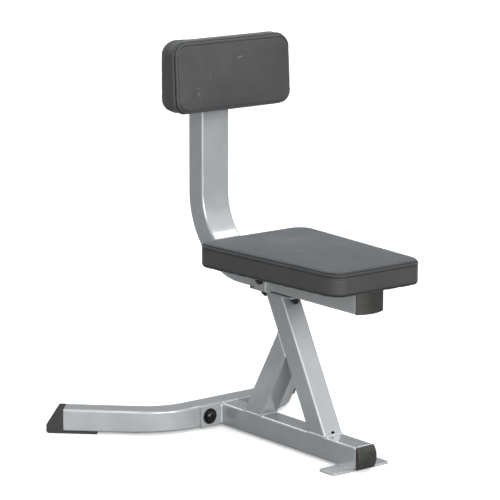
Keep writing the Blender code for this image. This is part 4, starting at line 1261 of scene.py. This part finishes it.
def carry(points, start, moved, near=18):
    """The movement of the simulated cloth at other points, smoothly averaged."""
    tree = KDTree(len(start))
    for i, co in enumerate(start):
        tree.insert(co, i)
    tree.balance()
    out = np.zeros_like(points)
    for i, p in enumerate(points):
        total, weight = np.zeros(3), 0.0
        found = tree.find_n(p, near)
        reach = found[-1][2] + 1e-6
        for _, index, distance in found:
            w = (1 - (distance / reach) ** 2) ** 2 + 1e-4
            total += moved[index] * w
            weight += w
        out[i] = total / weight
    return out


def settle(shape, target, first, rings, ring_count, rise):
    """Takes most of each ring's mean movement back out, so the swell bends the section but doesn't shift it."""
    for k in range(first, first + rings):
        ids = slice(k * ring_count, (k + 1) * ring_count)
        flat = target[ids, :2]
        along = np.roll(flat, -1, axis=0) - np.roll(flat, 1, axis=0)
        out = np.stack([along[:, 1], -along[:, 0]], axis=1)
        out /= np.linalg.norm(out, axis=1, keepdims=True)
        out *= np.sign((out * (flat - flat.mean(axis=0))).sum(axis=1).mean())
        moved = shape[ids] - target[ids]
        shape[ids, :2] -= 0.85 * out * (moved[:, :2] * out).sum(axis=1).mean()
        up = 0.85 * moved[:, 2].mean()
        shape[ids, 2] -= up
    inner = slice((first + rings) * ring_count, None)
    rim = target[(first + rings) * ring_count - 1, 2]
    shape[inner, 2] -= up * (1 - np.clip((target[inner, 2] - rim) / rise, 0, 1))


def upholster(name, pad, profile, rise, pocket, seam_height, lines, place, vinyl, sim, folds, replaced):
    """The finished pad: its exact section carries the simulated swell, then its seams, puckers and folds.
    Each of its lines is (inset, height, depth, width, darkness), and a negative depth is a raised roll. The darkness is
    painted shade laid into the colour along the line."""
    shrink = sim["shrink"]
    smaller = [(i + shrink * min(1.0, h / 10), h * (1 - shrink / profile[-1][1] * min(1.0, h / 30))) for i, h in profile]
    bm = pad_mesh(pad, smaller, rise * 0.6, pocket)
    bm.verts.ensure_lookup_table()
    ring_count = len(pad.ring(0, 0)[0])
    pocket_count = ring_count * len(pocket)
    base = np.array([v.co for v in bm.verts], float)
    full = pad_mesh(pad, profile, rise, pocket)
    full.verts.ensure_lookup_table()
    target = np.array([v.co for v in full.verts], float)
    full.free()
    start, moved = inflate(pad, profile, rise, shrink, seam_height, sim["voxel"], sim["cap"], pressure=sim["pressure"])
    shape = target + (base + carry(base, start, moved) - target) * sim["keep"]
    shape[:pocket_count] = target[:pocket_count]
    # keep the pad's own box: side to side, end to end and up from the board
    outer = np.arange(len(shape)) >= pocket_count
    for axis in (0, 1):
        lo, hi = shape[outer, axis].min(), shape[outer, axis].max()
        t_lo, t_hi = target[outer, axis].min(), target[outer, axis].max()
        mid, t_mid = (lo + hi) / 2, (t_lo + t_hi) / 2
        shape[outer, axis] = (shape[outer, axis] - mid) * (t_hi - t_lo) / (hi - lo) + t_mid
    top, t_top = shape[outer, 2].max(), target[outer, 2].max()
    shape[outer, 2] *= t_top / top
    settle(shape, target, len(pocket), len(profile), ring_count, rise)
    low = np.clip((target[:, 2] - 2.0) / 8.0, 0, 1)[:, None]
    shape = np.where(outer[:, None], target + (shape - target) * low, shape)
    for v, co in zip(bm.verts, shape):
        v.co = co
    bm.normal_update()
    perimeter = np.zeros(len(shape))
    ring = target[pocket_count:pocket_count + ring_count, :2]
    steps = np.linalg.norm(np.diff(np.vstack([ring, ring[:1]]), axis=0), axis=1)
    arclen = np.concatenate([[0], np.cumsum(steps)[:-1]])
    rings_total = len(pocket) + len(profile)
    for k in range(len(pocket), rings_total):
        perimeter[k * ring_count:(k + 1) * ring_count] = arclen
    pucker = wave((0.5, 0.26, 0.2), (0.35, 0.41, 1.7), (0.3, 0.71, 0.5), (0.2, 1.13, 2.9))
    normals = [v.normal.copy() for v in bm.verts]
    section = np.array(profile, float)
    reach = np.concatenate([[0], np.cumsum(np.linalg.norm(np.diff(section, axis=0), axis=1))])
    placed_lines = []
    for inset, height, depth, width, dark in lines:
        nearest = int(np.argmin(np.hypot(section[:, 0] - inset, section[:, 1] - height)))
        placed_lines.append((reach[nearest], depth, width, dark))
    dip, shade = np.zeros(len(profile)), np.zeros(len(profile))
    for centre, depth, width, dark in placed_lines:
        lobe = np.exp(-(((reach - centre) / width) ** 2))
        dip += depth * lobe
        shade = np.maximum(shade, dark * lobe)
    for index, v in enumerate(bm.verts):
        if index < pocket_count or index >= rings_total * ring_count:
            continue
        h = target[index, 2]
        s = perimeter[index]
        level_k = index // ring_count - len(pocket)
        near_seam = math.exp(-abs(reach[level_k] - placed_lines[0][0]) / 9.0)
        depth = dip[level_k] + 0.22 * near_seam * pucker(s)
        for fold in folds:
            depth += fold(target[index, 0], target[index, 1], h, s)
        v.co -= normals[index] * depth
    # Painted shade at each point of the sides, from the lines' darkness, kept in the seam attribute.
    painted_line_shade = [
        shade[i // ring_count - len(pocket)] if pocket_count <= i < rings_total * ring_count else 0.0
        for i in range(len(target))
    ]
    for v in bm.verts:
        v.co = place(v.co.x, v.co.y, v.co.z)
    pad_obj = show(name, bm, vinyl, "charcoal_vinyl", *replaced, sharp=55, flat_faces=False)
    pad_obj.data.attributes.new("seam", "FLOAT", "POINT").data.foreach_set("value", painted_line_shade)
    return pad_obj


def on_seat(x, y, height):
    return Vector((x, y, SEAT_Z0 + height))


def on_back(x, y, height):
    lean = BACK_LEAN * (BACK_ZC - y) * max(0.0, height - 18.0) / 50.0
    return Vector((x, BACK_Y0 - height - lean, y))


SEAT_SIDE = [(6.5, 0.0), (3.0, 1.4), (0.9, 4.0), (0.0, 9.0), (0.0, 27.0), (0.0, 45.0), (1.2, 49.4), (4.2, 52.0), (12.0, 53.7)]
BACK_SIDE = [(21.0, 0.0), (10.5, 3.2), (3.2, 10.5), (0.0, 22.0), (-0.2, 41.0), (0.0, 56.0), (1.5, 63.0), (5.2, 67.4), (12.5, 69.2)]

seat_pad = Pad(SEAT_REAR_HALF, SEAT_Y[0], SEAT_Y[1], SEAT_R, SEAT_SIDE, None, 5.0, SEAT_FRONT_HALF / SEAT_REAR_HALF)
back_pad = Pad(BACK_HALF, BACK_Z[0], BACK_Z[1], BACK_R, BACK_SIDE, None, 5.0)


def pocket_for(side):
    """The hollow that the board lies in: its roof, its wall, and the hem turned in under the board."""
    edge = side[1][0] + 2.3
    return [
        (edge + 12, 1.5 + BOARD_T + 0.35), (edge, 1.5 + BOARD_T + 0.35), (edge, 1.5 + 3.0), (side[0][0] + 0.6, 1.25),
        (side[0][0] + 17.0, 1.25), (side[0][0] + 17.6, 0.9), (side[0][0] + 17.0, 0.15), (side[0][0] + 8.0, 0.0),
    ]


def corner_folds(cx, cy, reach, amount, pitch):
    """Soft upright folds in the boxing round a corner, strongest half way up."""
    def fold(x, y, h, s):
        d = math.hypot(x - cx, y - cy)
        if d > reach:
            return 0.0
        angle = math.atan2(y - cy, x - cx)
        return amount * (1 - d / reach) * math.sin(angle * pitch + 0.06 * h) * math.exp(-(((h - 26) / 15) ** 2))

    return fold


def crease(cx, cy, reach, height, depth, drop=0.0, width=1.8):
    """A shallow lengthways crease round part of the pad, at a height that drops away from its middle."""
    def fold(x, y, h, s):
        d = math.hypot(x - cx, y - cy)
        if d > reach:
            return 0.0
        level_here = height - drop * (d / reach) ** 2
        return depth * (1 - (d / reach) ** 2) * math.exp(-(((h - level_here) / width) ** 2))

    return fold


def pulls(pitch, amount, top):
    """Small gathers where the cover is drawn over the lower edge to its staples."""
    def fold(x, y, h, s):
        if h > top:
            return 0.0
        return amount * (1 - h / top) * (0.5 + 0.5 * math.cos(2 * math.pi * s / pitch)) ** 6

    return fold


near_front = (-(SEAT_FRONT_HALF - 18), SEAT_Y[0] + 18)
far_front = (SEAT_FRONT_HALF - 18, SEAT_Y[0] + 18)
seat = upholster(
    "seat_pad", seat_pad, smooth_between(SEAT_SIDE, 0.75), 3.1, pocket_for(SEAT_SIDE), 48.6,
    # Darkness is painted shade: in the grooves of the seam lines, and along the lower edge in the last line, which has
    # no groove.
    [(1.6, 50.1, 1.6, 1.2, 0.9), (0.0, 46.6, -0.9, 2.0, 0.0), (0.0, 42.8, 1.2, 1.2, 0.8), (6.5, 52.6, -0.6, 2.6, 0.0), (0.7, 4.6, 0.0, 2.6, 0.85)],
    on_seat, SEAT_VINYL,
    dict(shrink=2.6, voxel=6.0, cap=7.0, pressure=4.0, keep=0.5),
    [
        corner_folds(*near_front, 62, 0.35, 9), corner_folds(*far_front, 55, 0.3, 8),
        crease(near_front[0], near_front[1], 78, 37.0, 0.6, 6.0), crease(far_front[0], far_front[1], 60, 38.0, 0.4, 5.0),
        pulls(36.0, 0.9, 14.0),
    ],
    ("seat_cover", "seat_foam"),
)
back = upholster(
    "back_pad", back_pad, smooth_between(BACK_SIDE, 0.75), 3.2, pocket_for(BACK_SIDE), 57.5,
    # Darkness is painted shade: in the grooves of the seam lines, and along the lower edge in the last line, which has
    # no groove.
    [(0.6, 60.6, 4.4, 1.9, 1.0), (7.0, 68.2, 1.3, 0.9, 0.85), (0.0, 54.2, -1.0, 2.6, 0.0), (16.0, 1.4, 0.0, 5.0, 0.6)],
    on_back, BACK_VINYL,
    dict(shrink=2.6, voxel=6.0, cap=7.0, pressure=4.0, keep=0.5),
    [
        corner_folds(-BACK_HALF + 22, BACK_Z[0] + 22, 45, 0.5, 7), corner_folds(-BACK_HALF + 22, BACK_Z[1] - 22, 45, 0.5, 7),
        corner_folds(BACK_HALF - 22, BACK_Z[0] + 22, 45, 0.5, 7), corner_folds(BACK_HALF - 22, BACK_Z[1] - 22, 45, 0.5, 7),
        crease(-BACK_HALF + 22, BACK_Z[1] - 22, 50, 26.0, -2.4, 0.0, 3.6), crease(-BACK_HALF + 22, BACK_Z[1] - 22, 46, 36.0, 1.3, 0.0, 4.0),
        crease(BACK_HALF - 22, BACK_Z[1] - 22, 44, 29.0, -1.1, 0.0, 4.5), crease(-BACK_HALF + 22, BACK_Z[0] + 22, 44, 30.0, -0.9, 0.0, 5.0),
        pulls(34.0, 0.9, 16.0),
    ],
    ("back_cover", "back_foam"),
)


def staples(name, pad, inset, height, pitch, place):
    """Wire staples through the hem, each a flat crown with its two legs turned down."""
    ring = pad.ring(inset, height)[0]
    points = [Vector(p) for p in ring]
    lengths = [(points[(i + 1) % len(points)] - points[i]).length for i in range(len(points))]
    total = sum(lengths)
    count = round(total / pitch)
    parts = []
    for k in range(count):
        want, i = total * (k + 0.5) / count, 0
        while want > lengths[i]:
            want -= lengths[i]
            i += 1
        a, b = points[i], points[(i + 1) % len(points)]
        at = a.lerp(b, want / lengths[i])
        along = (b - a).normalized()
        turn = 0.35 * RIPPLE(k * 1.7)
        along = Vector((along.x * math.cos(turn) - along.y * math.sin(turn), along.x * math.sin(turn) + along.y * math.cos(turn), 0))
        path = [at - along * 5.2 + Z * 1.2, at - along * 5.2 - Z * 0.1, at - along * 4.7 - Z * 0.45, at + along * 4.7 - Z * 0.45,
                at + along * 5.2 - Z * 0.1, at + along * 5.2 + Z * 1.2]
        side = along.cross(Z)
        rings = []
        for j, p in enumerate(path):
            ahead = (path[min(j + 1, 5)] - path[max(j - 1, 0)]).normalized()
            up = side.cross(ahead).normalized()
            rings.append([p + side * (0.55 * cx) + up * (0.3 * cy) for cx, cy in ((1, 1), (-1, 1), (-1, -1), (1, -1))])
        rings = [[place(q.x, q.y, q.z) for q in ring_] for ring_ in rings]
        parts.append(skin(rings))
    return show(name, merge(*parts), ZINC, "zinc_steel", sharp=30, flat_faces=False)


staples("seat_staples", seat_pad, 15.5, 0.0, 34.0, on_seat)
staples("back_staples", back_pad, 30.0, 0.0, 34.0, on_back)

# --- floor, light and camera -------------------------------------------------------------------

floor_mesh = bpy.data.meshes.new("floor")
floor_mesh.from_pydata([(-60, -60, 0), (60, -60, 0), (60, 60, 0), (-60, 60, 0)], [], [(0, 1, 2, 3)])
floor = bpy.data.objects.new("floor", floor_mesh)
bpy.context.scene.collection.objects.link(floor)
ground = Nodes("floor")
pale = ground.mix(ground.noise(3, 2, 0.5), (0.96, 0.96, 0.96), (0.98, 0.98, 0.98))
rays = ground.add("ShaderNodeLightPath")
seen = rays.outputs["Is Camera Ray"]
# Painted light on the floor: pool and lane are patches that only reflected rays see brighter, for highlights on the
# frame; the camera sees the floor evenly pale.
pool = ground.near((-0.22, -0.50, 0.0), (0.62, 0.34, 1.0))
across = ground.add("ShaderNodeVectorMath", operation="DOT_PRODUCT")
ground.join(ground.where, across.inputs[0])
across.inputs[1].default_value = (0.643, -0.766, 0.0)
place_x = ground.add("ShaderNodeSeparateXYZ")
ground.join(ground.where, place_x.inputs[0])
lane = ground.span(ground.math("ABSOLUTE", ground.math("ADD", across.outputs["Value"], 0.1)), 0.35, 0.65, 1.0, 0.0, smooth=True)
lane = ground.math("MULTIPLY", lane, ground.span(place_x.outputs["X"], -0.30, -0.20, 1.0, 0.0, smooth=True))
lit = ground.mix(pool, (0.27, 0.27, 0.27), (0.47, 0.47, 0.47))
lit = ground.mix(lane, lit, (0.52, 0.52, 0.52))
unseen = ground.mix(rays.outputs["Is Glossy Ray"], (0.24, 0.24, 0.24), lit)
ground.set(Base_Color=ground.mix(seen, unseen, pale), Roughness=0.9)
ground.set(Emission_Color=ground.mix(seen, (0, 0, 0), pale), Emission_Strength=0.34)
ground.shader.inputs["Specular IOR Level"].default_value = 0.1
floor_mesh.materials.append(ground.mat)

world = bpy.data.worlds.new("studio")
bpy.context.scene.world = world
world.use_nodes = True
sky = world.node_tree.nodes["Background"]
sky.inputs["Color"].default_value = (0.94, 0.97, 1.0, 1.0)
view_from = world.node_tree.nodes.new("ShaderNodeTexCoord")
facing_back = world.node_tree.nodes.new("ShaderNodeVectorMath")
facing_back.operation = "DOT_PRODUCT"
facing_back.inputs[1].default_value = Vector((0.60, 0.77, 0.12)).normalized()
backdrop = world.node_tree.nodes.new("ShaderNodeMapRange")
backdrop.interpolation_type = "SMOOTHSTEP"
backdrop.inputs["From Min"].default_value = 0.55
backdrop.inputs["From Max"].default_value = 0.95
backdrop.inputs["To Min"].default_value = 0.23
backdrop.inputs["To Max"].default_value = 0.36
world.node_tree.links.new(view_from.outputs["Generated"], facing_back.inputs[0])
world.node_tree.links.new(facing_back.outputs["Value"], backdrop.inputs["Value"])
world.node_tree.links.new(backdrop.outputs["Result"], sky.inputs["Strength"])


def sun(name, towards, energy, angle, color=(1, 1, 1)):
    """A distant soft light that shines from `towards`."""
    data = bpy.data.lights.new(name, "SUN")
    data.energy, data.angle, data.color = energy, math.radians(angle), color
    obj = bpy.data.objects.new(name, data)
    obj.rotation_mode = "QUATERNION"
    obj.rotation_quaternion = Vector(towards).to_track_quat("Z", "Y")
    bpy.context.scene.collection.objects.link(obj)


sun("key", (-0.17, -0.94, 0.27), 2.8, 36)
sun("key_right", (0.57, -0.47, 0.68), 0.42, 52)
sun("top", (0.0, 0.15, 1.0), 0.80, 80)
sun("top_edge", (-0.20, -0.09, 0.98), 0.28, 14)
sun("rim", (-0.22, 0.76, 0.61), 0.4, 14)
sun("front_edge", (0.61, -0.21, 0.77), 0.24, 12)
sun("rim_left", (-0.70, 0.66, 0.25), 0.16, 20)


def softbox(name, at, target, width, height, power):
    """A lit panel that stands beside the view."""
    data = bpy.data.lights.new(name, "AREA")
    data.shape, data.size, data.size_y, data.energy = "RECTANGLE", width, height, power
    obj = bpy.data.objects.new(name, data)
    obj.location = at
    obj.rotation_mode = "QUATERNION"
    obj.rotation_quaternion = (Vector(at) - Vector(target)).to_track_quat("Z", "Y")
    obj.visible_camera = False
    bpy.context.scene.collection.objects.link(obj)


softbox("strip", (-2.45, -1.75, 1.0), (0, 0.0, 0.3), 0.62, 2.0, 23.0)

camera_data = bpy.data.cameras.new("camera")
camera = bpy.data.objects.new("camera", camera_data)
bpy.context.scene.collection.objects.link(camera)
right_axis = Vector((0.78299009, -0.62203023, 0.0022167)).normalized()
forward = Vector((0.608847, 0.765657, -0.207542)).normalized()
up_axis = right_axis.cross(forward).normalized()
camera.matrix_world = Matrix(
    (
        (right_axis.x, up_axis.x, -forward.x, -3.666046),
        (right_axis.y, up_axis.y, -forward.y, -4.542528),
        (right_axis.z, up_axis.z, -forward.z, 1.666368),
        (0, 0, 0, 1),
    )
)
camera_data.sensor_width = 36.0
camera_data.lens = 195.66
camera_data.clip_start, camera_data.clip_end = 0.1, 200.0
bpy.context.scene.camera = camera
bpy.context.scene.view_settings.view_transform = "Standard"
bpy.context.scene.view_settings.look = "None"
